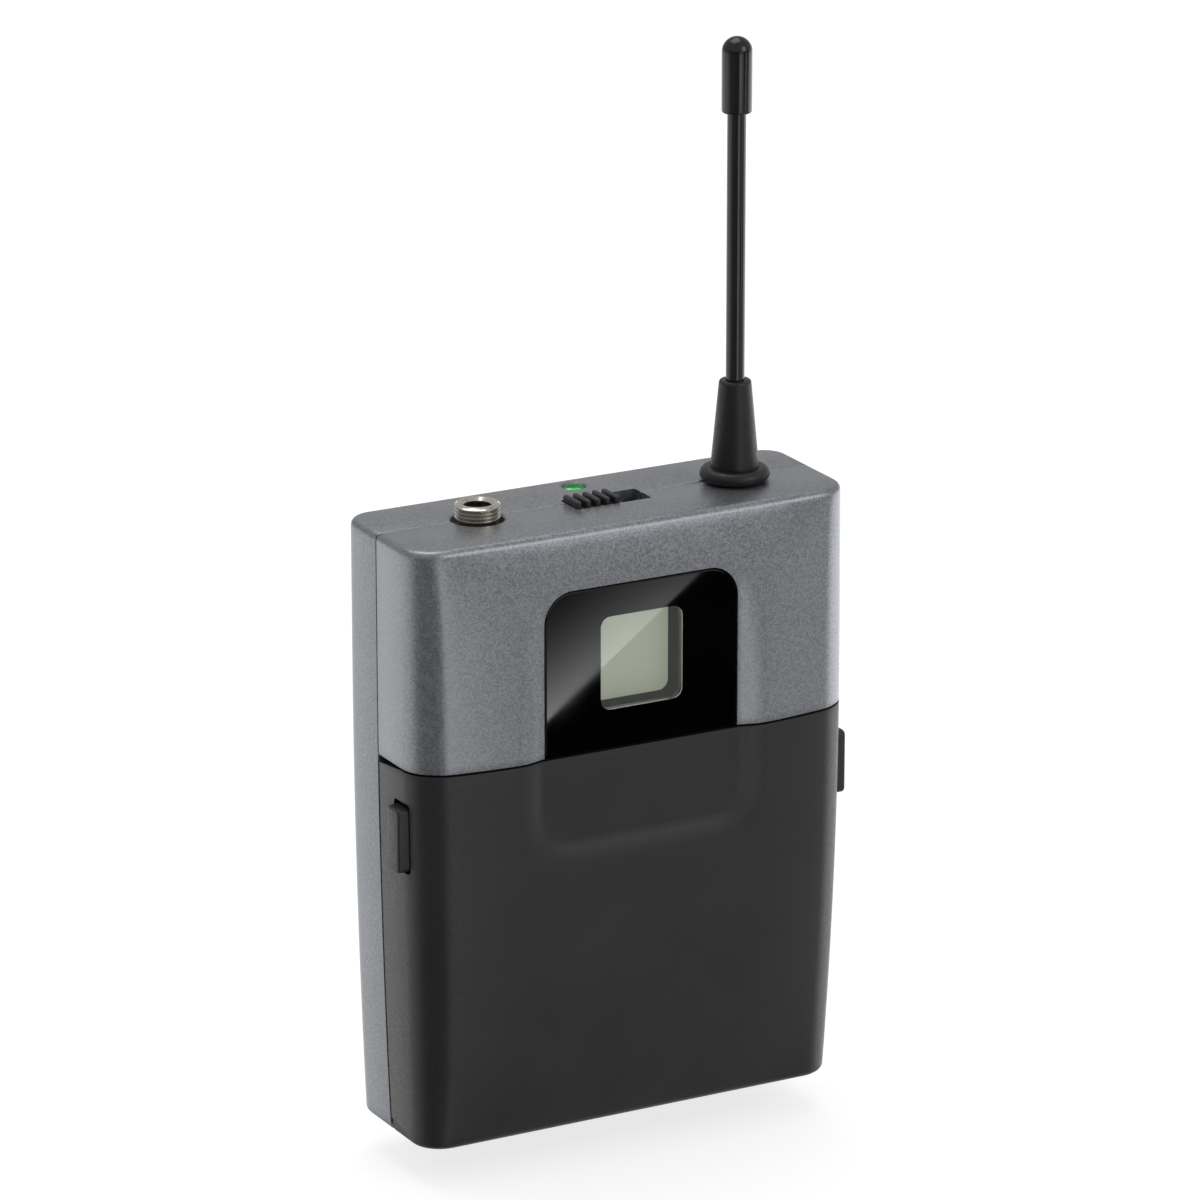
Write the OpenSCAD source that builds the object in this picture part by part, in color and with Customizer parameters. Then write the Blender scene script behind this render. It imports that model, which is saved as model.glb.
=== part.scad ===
// Wireless bodypack transmitter: a two-colour case that opens at the front,
// two AA cells, a flexible antenna, a threaded microphone socket and a belt clip.
// +Z is up, +X is the antenna side and -Y is the front with the display.
// The origin is at the centre of the footprint, on the rear shell's flat foot.

/* [Body] */
// Width of the case, without the two catches
body_w = 64; // [62:0.5:68]
// Height of the case, without the antenna
body_h = 82; // [81:0.5:84]
// Depth of the rear shell behind the seam
rear_d = 9.8; // [9.6:0.1:11]
// Depth from the seam to the front face at the case's edges
edge_d = 11; // [10.8:0.1:11.6]
// How far the front face swells at its middle
crown = 1.8; // [1:0.1:2.2]
// How far the front face draws back at the foot
foot_back = 1.1; // [0.4:0.1:1.2]
// How far each side draws in at the foot
side_taper = 1.4; // [0:0.1:1.5]
// Radius of the upright corners at the front
front_r = 4.5; // [4:0.1:5]
// Radius of the upright corners at the back
rear_r = 3.5; // [3:0.1:4]
// Rounding of the top and bottom edges
edge_r = 0.9; // [0.5:0.1:1.2]
// Wall thickness of the shells
wall = 1.6; // [1.4:0.1:1.8]
// Line left open between neighbouring covers
gap = 0.3; // [0.2:0.05:0.4]

/* [Display] */
// Width of the display window
window_w = 28.2; // [26:0.2:29]
// Height of the window's upper edge
window_top = 74.3; // [73:0.1:75]
// Radius of the window's two upper corners
window_r = 4; // [3:0.5:5]
// Width of the visible liquid crystal
lcd_w = 12; // [10:0.5:14]
// Height of the visible liquid crystal
lcd_h = 12.6; // [11:0.2:13]
// Height of the liquid crystal's centre
lcd_z = 63.9; // [62:0.1:65]

/* [Battery cover] */
// Height of the cover's upper edge at the front
cover_top = 52.1; // [51.8:0.1:52.5]
// Distance of the hinge axis in front of the seam
hinge_ahead = 6.4; // [6.2:0.1:6.5]
// Height of the hinge axis
hinge_z = 2; // [2:0.1:2.2]
// Radius of the hinge pins
pin_r = 0.75; // [0.6:0.05:0.8]
// Length of a catch
catch_h = 8.7; // [8:0.1:9]
// Height of a catch's centre
catch_z = 42.9; // [42:0.1:44]
// How far a catch stands out from the case's side
catch_out = 1.3; // [1:0.1:1.5]

/* [Top face] */
// Distance of the microphone socket left of the centre
jack_left = 17.5; // [16:0.5:19]
// Outside radius of the socket's threaded bush
bush_r = 3; // [2.9:0.1:3.2]
// Radius of the socket's bore for a 3.5 mm plug
jack_r = 1.8; // [1.78:0.01:1.85]
// How far the bush stands above the top face
bush_out = 2.2; // [2:0.1:3]
// Travel of the mute switch's slider
mute_travel = 3.7; // [3:0.1:3.8]
// Distance of the antenna right of the centre
antenna_right = 19.8; // [19:0.1:21]
// Height of the antenna's tip above the top face
antenna_h = 59.3; // [50:0.1:75]

/* [Cells and clip] */
// Radius of an AA cell
cell_r = 7.15; // [7:0.05:7.2]
// Length of an AA cell with its nub
cell_l = 50.5; // [49.5:0.1:50.5]
// Radius of the belt clip's wire
wire_r = 1; // [0.8:0.05:1]
// Width of the belt clip between the middles of its legs
clip_w = 34; // [30:1:38]
// Length of the belt clip from its pivot to its lower bar
clip_l = 48; // [40:1:50]

/* [Hidden] */
$fn = 48;
// The seam's place puts the origin midway between the front face and the belt clip.
seam_y = -1.5;
back_y = seam_y + rear_d;
panel_y = seam_y - 12.15;
shell_low = cover_top + gap;
hinge_y = seam_y - hinge_ahead;
taper_z = 62;
front_steps = 8;
corner_steps = 5;
levels = 9;
cell_y = -3.2;
cell_low_z = 11;
cell_pitch = 15.1;
tray_x = 28;
slot_lo = [-4.5, seam_y - 3];
slot_hi = [6.5, seam_y + 1.6];
rib_pitch = 1.4;
jack_at = [-jack_left, seam_y - 0.2];
antenna_at = [antenna_right, seam_y - 1.2];
led_at = [0.1, seam_y + 6.5];
lcd_y = panel_y + 4;
shank_r = bush_r - 0.6;
strip_y = panel_y + 2.85;
axle_y = strip_y + 2.2;
board_y = 2.6;
clip_z = 66;
clip_lean = 2.9;
clip_off = 4.1;
clip_bend = 3;
lug_r = 2.2;
boss_r = 2.2;
tray_back = 5.6;
tray_screws = [[-25, 8], [25, 8]];
shell_screws = [[-25, 72], [27, 72]];
charcoal = [0.16, 0.16, 0.17];
slate = [0.42, 0.45, 0.5];
nickel = [0.78, 0.76, 0.72];
gold = [0.83, 0.68, 0.36];
board_green = [0.08, 0.3, 0.16];

// ---- outline of the case, worked out for one height ----

// Half width of the case at height z
function half_w(z) = body_w / 2 - side_taper * pow(max(0, 1 - z / taper_z), 2);

// Depth from the seam to the front face's edge at height z
function edge_depth(z) =
    edge_d + 0.4 * sin(180 * z / body_h) - foot_back * pow(max(0, 1 - z / 50), 2);

// How far the front face swells at height z, on the centre line
function swell(z) = crown * (1 - pow(abs(2 * z / body_h - 1), 5));

// Front face at x and height z
function face_y(x, z) =
    seam_y - edge_depth(z) - swell(z) * max(0, 1 - pow(x / (half_w(z) - front_r / 2), 2));

function arc(cx, cy, r, a0) =
    [for (i = [0 : corner_steps]) let (a = a0 + 90 * i / corner_steps) [cx + r * cos(a), cy + r * sin(a)]];

// One closed outline of the case at height z, drawn in by t
function ring(z, t) =
    let (w = half_w(z) - t,
         fr = front_r - t,
         rr = rear_r - t,
         yb = back_y - t,
         yf = seam_y - edge_depth(z) + t,
         xf = w - fr)
    concat(
        arc(w - rr, yb - rr, rr, 0),
        arc(rr - w, yb - rr, rr, 90),
        arc(fr - w, yf + fr, fr, 180),
        [for (i = [1 : front_steps - 1]) let (x = -xf + 2 * xf * i / front_steps) [x, face_y(x, z) + t]],
        arc(w - fr, yf + fr, fr, 270));

// Heights and insets of the outer skin, with its rounded top and bottom edges
function outer_levels() = concat(
    [for (a = [0 : 30 : 60]) [edge_r * (1 - cos(a)), edge_r * (1 - sin(a))]],
    [for (i = [0 : levels]) [edge_r + (body_h - 2 * edge_r) * i / levels, 0]],
    [for (a = [60 : -30 : 0]) [body_h - edge_r * (1 - cos(a)), edge_r * (1 - sin(a))]]);

// Heights and insets of the hollow inside, from floor to ceiling
function inner_levels(t) = [for (i = [0 : levels]) [t + (body_h - 2 * t) * i / levels, t]];

// Closed skin through the outlines at the given heights
module skin(stations) {
    rings = [for (s = stations) ring(s[0], s[1])];
    n = len(rings[0]);
    m = len(stations);
    points = [for (k = [0 : m - 1]) for (p = rings[k]) [p[0], p[1], stations[k][0]]];
    sides = [for (k = [0 : m - 2]) for (i = [0 : n - 1])
        let (j = (i + 1) % n, a = k * n + i, b = k * n + j, c = (k + 1) * n + j, d = (k + 1) * n + i)
        for (face = [[a, d, c], [a, c, b]]) face];
    foot = [for (i = [1 : n - 2]) [0, i, i + 1]];
    head = [for (i = [1 : n - 2]) [(m - 1) * n, (m - 1) * n + i + 1, (m - 1) * n + i]];
    polyhedron(points, concat(sides, foot, head), convexity = 6);
}

// ---- shared shapes ----

// Box between two opposite corners
module span(lo, hi) {
    translate(lo) cube(hi - lo);
}

// Upright plate with rounded corners, centred on x, from y0 to y1
module plate(w, z0, z1, r, y0, y1) {
    translate([0, y1, 0]) rotate([90, 0, 0]) linear_extrude(y1 - y0) rounded(w, z0, z1, r);
}

module rounded(w, z0, z1, r) {
    translate([-w / 2, z0 + r]) square([w, z1 - z0 - 2 * r]);
    translate([r - w / 2, z0]) square([w - 2 * r, z1 - z0]);
    for (x = [r - w / 2, w / 2 - r]) for (z = [z0 + r, z1 - r]) translate([x, z]) circle(r);
}

// Cylinder along X between two places
module bar(x0, x1, y, z, r) {
    translate([x0, y, z]) rotate([0, 90, 0]) cylinder(h = x1 - x0, r = r);
}

// Cylinder along Y between two places
module stud(x, z, y0, y1, r) {
    translate([x, y1, z]) rotate([90, 0, 0]) cylinder(h = y1 - y0, r = r);
}

// Both hands of a shape drawn on the right
module pair() {
    children();
    mirror([1, 0, 0]) children();
}

// Openings in the top face, shared by both shells
module top_openings() {
    translate([jack_at[0], jack_at[1], body_h - 4]) cylinder(h = 6, r = bush_r + 0.5);
    translate([antenna_at[0], antenna_at[1], body_h - 4]) cylinder(h = 6, r = 3.6);
    translate([led_at[0], led_at[1], body_h - 4]) cylinder(h = 6, r = 1.6);
    span([slot_lo[0], slot_lo[1], body_h - 4], [slot_hi[0], slot_hi[1], body_h + 2]);
}

// Shallow flat panel sunk into the swollen front face, with sloping banks
module panel_recess() {
    hull() {
        span([-14.4, panel_y - 0.05, 41], [14.4, panel_y, window_top]);
        span([-18.4, panel_y - 1.4, 37], [18.4, panel_y - 1.3, 78]);
    }
}

// ---- case ----

module rear_shell() {
    color(slate) difference() {
        union() {
            intersection() {
                skin(outer_levels());
                span([-40, seam_y, -1], [40, 20, body_h + 1]);
            }
            pair() {
                clip_lug();
            }
        }
        difference() {
            skin(inner_levels(wall));
            for (s = tray_screws) stud(s[0], s[1], tray_back, 20, boss_r);
            for (s = shell_screws) stud(s[0], s[1], seam_y, 20, boss_r);
        }
        for (s = concat(tray_screws, shell_screws)) {
            stud(s[0], s[1], seam_y - 1, 20, 1.1);
            stud(s[0], s[1], back_y - 1, 20, 2.05);
        }
        top_openings();
        bar(-40, 40, back_y + clip_off, clip_z, wire_r + 0.05);
    }
}

// Lug on the back that holds one end of the belt clip
module clip_lug() {
    bar(9, 13.6, back_y + clip_off, clip_z, lug_r);
    span([9, back_y - 0.5, clip_z - lug_r], [13.6, back_y + clip_off, clip_z + lug_r]);
}

module front_shell() {
    color(slate) difference() {
        intersection() {
            skin(outer_levels());
            span([-40, -30, shell_low], [40, seam_y, body_h + 1]);
        }
        difference() {
            skin(inner_levels(wall));
            for (s = shell_screws) stud(s[0], s[1], -20, seam_y, boss_r);
        }
        for (s = shell_screws) stud(s[0], s[1], seam_y - 5.5, seam_y + 1, 0.95);
        panel_recess();
        plate(window_w + 0.3, shell_low - 10, window_top + 0.15, window_r + 0.15, -30, seam_y - 5);
        top_openings();
    }
}

module battery_cover() {
    color(charcoal) union() {
        difference() {
            intersection() {
                skin(outer_levels());
                span([-40, -30, -1], [40, seam_y - gap, cover_top]);
            }
            difference() {
                skin(inner_levels(wall));
                span([-17, -20, 38], [17, panel_y + wall - 0.2, body_h]);
            }
            panel_recess();
            cover_clearances();
            pair() catch_opening();
        }
        pair() {
            hinge_boss();
            spring_seat();
        }
    }
}

// Room for the hinge, the floor and the swing of the cover's rear edges
module cover_clearances() {
    span([-28.6, hinge_y - 0.9, -1], [28.6, seam_y, 4]);
    bar(-25.8, 25.8, hinge_y, hinge_z, 1.8);
    span([-40, seam_y - gap - 0.35, -1], [40, seam_y, hinge_z]);
    translate([-40, seam_y - gap, cover_top - 0.7])
        rotate([-6.5, 0, 0]) translate([0, -5.5, 0]) cube([80, 7, 3]);
}

module catch_opening() {
    span([28, seam_y - 8.2, catch_z - catch_h / 2 - 0.3], [40, seam_y - 4.3, catch_z + catch_h / 2 + 0.6]);
}

// Boss inside the cover's side wall that grips a hinge pin
module hinge_boss() {
    difference() {
        bar(26.1, 29.3, hinge_y, hinge_z, 1.5);
        bar(26, 29, hinge_y, hinge_z, pin_r);
    }
}

// Rib inside the cover that the catch's spring pushes against
module spring_seat() {
    span([25.8, seam_y - 11.2, catch_z - 3], [26.6, seam_y - 4.6, catch_z + 3]);
}

module hinge_pins() {
    color(nickel) pair() bar(22.6, 29, hinge_y, hinge_z, pin_r);
}

// Push catch: a thumb bar outside the case and a flange inside it
module catch_right() {
    color(charcoal) union() {
        span([28.9, seam_y - 7.9, catch_z - catch_h / 2],
            [body_w / 2 - 0.13 + catch_out, seam_y - 4.6, catch_z + catch_h / 2]);
        span([28.9, seam_y - 7.9, catch_z - 5.6], [29.8, seam_y - 3.6, catch_z + 5.6]);
    }
}

module catch_left() {
    mirror([1, 0, 0]) catch_right();
}

module catch_spring_right() {
    color(nickel) difference() {
        bar(26.6, 28.9, seam_y - 6.25, catch_z, 1.6);
        bar(26, 29, seam_y - 6.25, catch_z, 1.2);
    }
}

module catch_spring_left() {
    mirror([1, 0, 0]) catch_spring_right();
}

// ---- inside: tray, cells and contacts ----

module battery_tray() {
    color(charcoal) union() {
        difference() {
            union() {
                span([-tray_x, seam_y + 1.8, 4], [tray_x, tray_back, 34.9]);
                pair() span([27.2, seam_y - 7.3, 4.2], [tray_x, tray_back, 34.9]);
                span([-tray_x, seam_y - 8.4, 33.9], [tray_x, tray_back, 34.9]);
            }
            for (s = tray_screws) stud(s[0], s[1], 4, 8, 0.95);
            for (k = [0, 1])
                bar(-27.2, 27.2, cell_y, cell_low_z + k * cell_pitch, cell_r + 0.15);
        }
        switch_panel();
        hinge_floor();
    }
}

// Panel behind the cover that frames the keys
module switch_panel() {
    difference() {
        union() {
            span([-25.4, strip_y, 33.9], [25.4, strip_y + 1.2, 52]);
            pair() span([24.4, strip_y, 33.9], [25.4, tray_back, 36.5]);
            pair() span([21, strip_y + 1, 37.5], [23.5, strip_y + 4.6, 40]);
            pair() span([21, strip_y + 1, 48], [23.5, strip_y + 4.6, 50.5]);
        }
        key_opening(-15, 43, 8.6, 5.6);
        key_opening(0, 43, 7.6, 12.6);
        key_opening(15, 43, 8.6, 5.6);
    }
}

module key_opening(x, z, w, h) {
    span([x - w / 2, strip_y - 1, z - h / 2], [x + w / 2, strip_y + 2, z + h / 2]);
}

// Floor of the compartment and the round rail that the cover turns on
module hinge_floor() {
    difference() {
        union() {
            bar(-25.6, 25.6, hinge_y, hinge_z, 1.5);
            span([-25.6, hinge_y, hinge_z - 0.2], [25.6, seam_y, hinge_z + 1]);
            span([-tray_x, hinge_y + 2.7, 0], [tray_x, seam_y, hinge_z + 1]);
            span([-24, hinge_y + 3.6, hinge_z], [24, seam_y + 2.2, 4.6]);
        }
        pair() bar(22.4, 26, hinge_y, hinge_z, pin_r + 0.05);
        bar(-27.2, 27.2, cell_y, cell_low_z, cell_r + 0.15);
    }
}

// One AA cell along X, with its nub towards +X
module cell() {
    bar(-cell_l / 2, cell_l / 2 - 1.2, 0, 0, cell_r);
    bar(cell_l / 2 - 1.2, cell_l / 2, 0, 0, 2.6);
}

module cell_lower() {
    color("dimgray") translate([0, cell_y, cell_low_z]) cell();
}

module cell_upper() {
    color("dimgray") translate([0, cell_y, cell_low_z + cell_pitch]) mirror([1, 0, 0]) cell();
}

// Contact plates at the cells' ends: two separate ones and a bridge
module contact_plates() {
    color(nickel) union() {
        for (z = [cell_low_z, cell_low_z + cell_pitch])
            span([26.9, cell_y - 4, z - 4], [27.2, cell_y + 3.4, z + 4]);
        span([-27.2, cell_y - 4, cell_low_z - 4], [-26.9, cell_y + 3.4, cell_low_z + cell_pitch + 4]);
        bar(cell_l / 2, 26.9, cell_y, cell_low_z, 2);
        bar(-26.9, -cell_l / 2, cell_y, cell_low_z + cell_pitch, 2);
    }
}

// Coil springs against the cells' flat ends
module contact_springs() {
    color(nickel) union() {
        coil_sleeve(-26.9, -cell_l / 2, cell_low_z);
        coil_sleeve(cell_l / 2, 26.9, cell_low_z + cell_pitch);
    }
}

module coil_sleeve(x0, x1, z) {
    difference() {
        bar(x0, x1, cell_y, z, 3.4);
        bar(x0 - 1, x1 + 1, cell_y, z, 2.9);
    }
}

// ---- keys behind the cover ----

module key_plate(x, z, w, h) {
    span([x - w / 2, strip_y - 0.8, z - h / 2], [x + w / 2, strip_y + 2.1, z + h / 2]);
    span([x - w / 2 - 0.8, strip_y + 1.4, z - h / 2 - 0.8],
        [x + w / 2 + 0.8, strip_y + 2.1, z + h / 2 + 0.8]);
}

module power_button() {
    color("firebrick") key_plate(-15, 43, 8, 5);
}

module set_button() {
    color("silver") key_plate(15, 43, 8, 5);
}

// Rocker with an upper and a lower key surface, turning about its middle
module select_rocker() {
    color("silver") union() {
        span([-3.5, strip_y - 0.8, 37], [3.5, strip_y + 2.4, 49]);
        bar(-4.6, 4.6, axle_y, 43, 0.7);
    }
}

// Board behind the keys
module key_board() {
    color(board_green) span([-24, strip_y + 4.6, 36.8], [24, strip_y + 5.4, 51.5]);
}

// Dome switches on the key board
module key_switches() {
    color("dimgray") union() {
        for (x = [-15, 15]) span([x - 2.2, strip_y + 3.1, 40.8], [x + 2.2, strip_y + 4.6, 45.2]);
        for (z = [39.3, 46.7]) span([-1.5, strip_y + 3.1, z - 1.5], [1.5, strip_y + 4.6, z + 1.5]);
    }
}

// Bearing blocks that carry the rocker's axle, standing on the key board
module rocker_bearings() {
    color(charcoal) pair() difference() {
        span([3.9, strip_y + 1.2, 41.6], [5.2, strip_y + 4.6, 44.4]);
        bar(3, 6, axle_y, 43, 0.75);
    }
}

// ---- display ----

// Plate of the window's shape, square at its lower edge, from y0 to y1
module window_plate(y0, y1) {
    difference() {
        plate(window_w - 0.1, shell_low - 6, window_top, window_r, y0, y1);
        span([-20, y0 - 1, shell_low - 10], [20, y1 + 1, shell_low + 0.25]);
    }
}

module window_pane() {
    color([0.05, 0.05, 0.06, 0.6]) window_plate(panel_y, panel_y + 1.2);
}

// Deep black frame that the liquid crystal lies behind
module display_mask() {
    color(charcoal) difference() {
        window_plate(panel_y + 1.2, lcd_y);
        plate(lcd_w, lcd_z - lcd_h / 2, lcd_z + lcd_h / 2, 1.4, panel_y, lcd_y + 1);
    }
}

module lcd_panel() {
    color([0.6, 0.64, 0.56]) span([-8, lcd_y, lcd_z - 8], [8, lcd_y + 1.4, lcd_z + 8]);
}

module display_board() {
    color(board_green) span([-15, lcd_y + 1.4, shell_low + 1], [15, lcd_y + 2.2, 76]);
}

// ---- boards ----

module main_board() {
    color(board_green) difference() {
        span([-28, board_y, 37.5], [28, board_y + 1, 79]);
        for (s = shell_screws) stud(s[0], s[1], 0, 10, 2.6);
        span([slot_lo[0] - 1, board_y - 1, 75], [slot_hi[0] + 1, board_y + 2, 80]);
    }
}

module board_chips() {
    color([0.1, 0.1, 0.11]) union() {
        span([-20, board_y - 1, 42], [-12, board_y, 50]);
        span([-4, board_y - 1.2, 44], [4, board_y, 52]);
        for (x = [8 : 4 : 20]) span([x, board_y - 0.8, 40], [x + 2.4, board_y, 43.5]);
        for (z = [52 : 4 : 64]) span([-25.5, board_y - 0.8, z], [-22, board_y, z + 2.2]);
    }
}

module rf_shield() {
    color(nickel) span([9, board_y - 2.4, 47], [25, board_y, 68]);
}

// ---- top face ----

module jack_bush() {
    color(nickel) translate([jack_at[0], jack_at[1], 0]) difference() {
        union() {
            translate([0, 0, body_h - 5]) cylinder(h = 5.1, r = shank_r);
            translate([0, 0, body_h + 0.1]) cylinder(h = bush_out - 0.1, r = bush_r);
            translate([0, 0, body_h - 5]) cylinder(h = 1, r = 3.9);
        }
        translate([0, 0, body_h - 20]) cylinder(h = 30, r = jack_r);
    }
}

module jack_body() {
    color([0.1, 0.1, 0.11]) translate([jack_at[0], jack_at[1], 0]) difference() {
        translate([-4, -3.6, body_h - 18.4]) cube([8, 7.2, 13.4]);
        translate([0, 0, body_h - 17]) cylinder(h = 30, r = jack_r);
    }
}

// Nut that clamps the socket under the top wall
module jack_nut() {
    color(nickel) translate([jack_at[0], jack_at[1], body_h - wall - 1.6]) difference() {
        cylinder(h = 1.6, r = 4.6, $fn = 6);
        translate([0, 0, -1]) cylinder(h = 4, r = shank_r);
    }
}

module mute_slider() {
    x0 = slot_lo[0] + 0.15;
    x1 = slot_hi[0] - 0.15 - mute_travel;
    color(charcoal) union() {
        span([x0, slot_lo[1] + 0.3, body_h - 3.4], [x1, slot_hi[1] - 0.3, body_h - 0.2]);
        for (i = [0 : 4]) translate([rib_pitch * i, 0, 0])
            span([x0, slot_lo[1] + 0.3, body_h - 0.3], [x0 + 0.8, slot_hi[1] - 0.3, body_h + 0.85]);
        span([x0 + 2.4, -2.8, body_h - 5], [x1 - 2.4, -1.6, body_h - 3.3]);
    }
}

module mute_switch() {
    color("silver") difference() {
        span([slot_lo[0], slot_lo[1], body_h - 9], [slot_hi[0], slot_hi[1], body_h - 4.1]);
        span([slot_lo[0] + 1, -3.2, body_h - 6.2], [slot_hi[0] - 1, -1.2, body_h - 4]);
    }
}

module led_lens() {
    color([0.25, 0.85, 0.35]) translate([led_at[0], led_at[1], body_h - 6]) union() {
        cylinder(h = 5.4, r = 1.5);
        cylinder(h = 0.8, r = 1.65);
    }
}

module led_chip() {
    color("white")
        span([led_at[0] - 1.6, board_y + 1, body_h - 8], [led_at[0] + 1.6, led_at[1] + 0.8, body_h - 6.1]);
}

// ---- antenna ----

module on_antenna() {
    translate([antenna_at[0], antenna_at[1], body_h]) children();
}

// Round collar whose edge is a half bead
module antenna_collar() {
    color([0.1, 0.1, 0.11]) on_antenna() difference() {
        union() {
            rotate_extrude() translate([3.65, 1]) circle(0.95);
            translate([0, 0, 0.05]) cylinder(h = 1.9, r = 3.65);
            translate([0, 0, -3]) cylinder(h = 3.1, r = 3.5);
        }
        translate([0, 0, -5]) cylinder(h = 10, r = 2);
    }
}

module antenna_boot() {
    color([0.1, 0.1, 0.11]) on_antenna() union() {
        translate([0, 0, 1.95]) cylinder(h = 11.7, r1 = 3.15, r2 = 2.1, $fn = 48);
        translate([0, 0, -4]) cylinder(h = 6, r = 2);
    }
}

module antenna_whip() {
    color([0.06, 0.06, 0.07]) on_antenna() translate([0, 0, 13.65]) cylinder(h = antenna_h - 23.65, r = 1.24);
}

module antenna_tip() {
    color([0.06, 0.06, 0.07]) on_antenna() union() {
        translate([0, 0, antenna_h - 10]) cylinder(h = 8, r = 2);
        translate([0, 0, antenna_h - 2]) sphere(2);
    }
}

// Threaded brass foot that ties the antenna to the board
module antenna_foot() {
    color(gold) on_antenna() union() {
        translate([0, 0, -9]) cylinder(h = 5, r = 2.4);
        span([-1.5, 1, -9], [1.5, board_y - antenna_at[1], -7.5]);
    }
}

// ---- fasteners and belt clip ----

// Pan-head screw from the back wall to a tip at y = tip
module screw(at, tip) {
    stud(at[0], at[1], tip, back_y - 1, 0.95);
    stud(at[0], at[1], back_y - 1, back_y - 0.2, 1.9);
}

module case_screws() {
    color([0.2, 0.2, 0.21]) union() {
        for (s = tray_screws) screw(s, 4.4);
        for (s = shell_screws) screw(s, seam_y - 5);
    }
}

// Quarter bend of the clip's wire, from the pin direction into the leg direction
module bend() {
    rotate([90, 0, 0]) rotate_extrude(angle = 90) translate([clip_bend, 0]) circle(wire_r);
}

module belt_clip() {
    leg = clip_w / 2;
    color(nickel) translate([0, back_y + clip_off, clip_z]) rotate([-clip_lean, 0, 0]) pair() {
        bar(9, leg - clip_bend, 0, 0, wire_r);
        translate([leg - clip_bend, 0, -clip_bend]) bend();
        translate([leg, 0, clip_bend - clip_l]) cylinder(h = clip_l - 2 * clip_bend, r = wire_r);
        translate([leg - clip_bend, 0, clip_bend - clip_l]) rotate([0, 90, 0]) bend();
        bar(0, leg - clip_bend, 0, -clip_l, wire_r);
    }
}

rear_shell();
front_shell();
battery_cover();
hinge_pins();
catch_left();
catch_right();
catch_spring_left();
catch_spring_right();
battery_tray();
cell_lower();
cell_upper();
contact_plates();
contact_springs();
power_button();
set_button();
select_rocker();
key_board();
key_switches();
rocker_bearings();
window_pane();
display_mask();
lcd_panel();
display_board();
main_board();
board_chips();
rf_shield();
jack_bush();
jack_body();
jack_nut();
mute_slider();
mute_switch();
led_lens();
led_chip();
antenna_collar();
antenna_boot();
antenna_whip();
antenna_tip();
antenna_foot();
case_screws();
belt_clip();
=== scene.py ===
import math

import bmesh
import bpy
from mathutils import Matrix, Vector


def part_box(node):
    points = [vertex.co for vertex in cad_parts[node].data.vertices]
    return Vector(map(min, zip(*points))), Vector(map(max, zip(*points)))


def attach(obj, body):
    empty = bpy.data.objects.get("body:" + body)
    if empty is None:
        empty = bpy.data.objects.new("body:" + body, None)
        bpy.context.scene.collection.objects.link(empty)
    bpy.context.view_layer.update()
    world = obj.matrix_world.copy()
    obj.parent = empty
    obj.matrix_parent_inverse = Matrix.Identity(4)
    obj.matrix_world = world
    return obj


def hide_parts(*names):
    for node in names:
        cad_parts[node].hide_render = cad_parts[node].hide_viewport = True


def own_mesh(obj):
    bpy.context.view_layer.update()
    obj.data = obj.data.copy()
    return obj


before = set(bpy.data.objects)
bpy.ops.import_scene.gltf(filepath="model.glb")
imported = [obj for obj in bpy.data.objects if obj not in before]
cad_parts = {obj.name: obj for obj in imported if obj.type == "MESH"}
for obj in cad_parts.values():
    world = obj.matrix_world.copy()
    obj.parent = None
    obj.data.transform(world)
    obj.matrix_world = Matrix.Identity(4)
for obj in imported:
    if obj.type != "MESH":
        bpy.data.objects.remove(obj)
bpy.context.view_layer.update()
bpy.context.scene.view_settings.view_transform = "Standard"

mm = 0.001   # pieces are modelled in millimetres and brought to metres when they are finished


# places from the frame, in millimetres

def boxMm(node):
    low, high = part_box(node)
    return Vector(low) / mm, Vector(high) / mm


def centreMm(node):
    low, high = boxMm(node)
    return (low + high) / 2


rearLow, rearHigh = boxMm("rear_shell")
frontLow, frontHigh = boxMm("front_shell")
coverHigh = boxMm("battery_cover")[1]
paneLow, paneHigh = boxMm("window_pane")
catchLow, catchHigh = boxMm("catch_right")
pinLow, pinHigh = boxMm("hinge_pins")
jackCentre = centreMm("jack_bush")
antennaCentre = centreMm("antenna_whip")
ledCentre = centreMm("led_lens")

caseShape = {
    "width": rearHigh.x - rearLow.x,
    "height": rearHigh.z,
    "seam": frontHigh.y,
    "back": 8.3,            # back face of the rear shell, without the clip's lugs
    "edgeDepth": 11.0,      # from the seam to the front face, at the upright corners
    "bow": 0.4,             # how much deeper the edge is at half height
    "crown": 1.8,           # swell of the front face at its middle
    "crownPower": 4,        # flat in the middle, rounder towards the sides
    "crownRise": 5,         # and towards the head and the foot
    "footBack": 1.1,        # how far the front draws back at the foot
    "footFrom": 50.0,
    "taper": 1.4,           # how far each side draws in at the foot
    "taperFrom": 62.0,
    "frontRadius": 4.5,
    "rearRadius": 3.5,
    "edgeRadius": 0.9,
    "wall": 1.6,
    "shutLine": 0.12,       # half of the fine line between front and rear shell
    "gridX": 1.5,
    "gridZ": 1.25,
    "sliver": 0.12,         # rows closer than this are merged
    "edgeBreak": 0.16,      # small rounding of moulded edges
}


# modelling helpers

def freshStart():
    if bpy.context.object and bpy.context.object.mode != "OBJECT":
        bpy.ops.object.mode_set(mode="OBJECT")
    bpy.ops.object.select_all(action="DESELECT")


def only(piece):
    freshStart()
    bpy.context.view_layer.objects.active = piece
    piece.select_set(True)
    return piece


def editAll(piece):
    only(piece)
    bpy.ops.object.mode_set(mode="EDIT")
    bpy.ops.mesh.select_all(action="SELECT")


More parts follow.
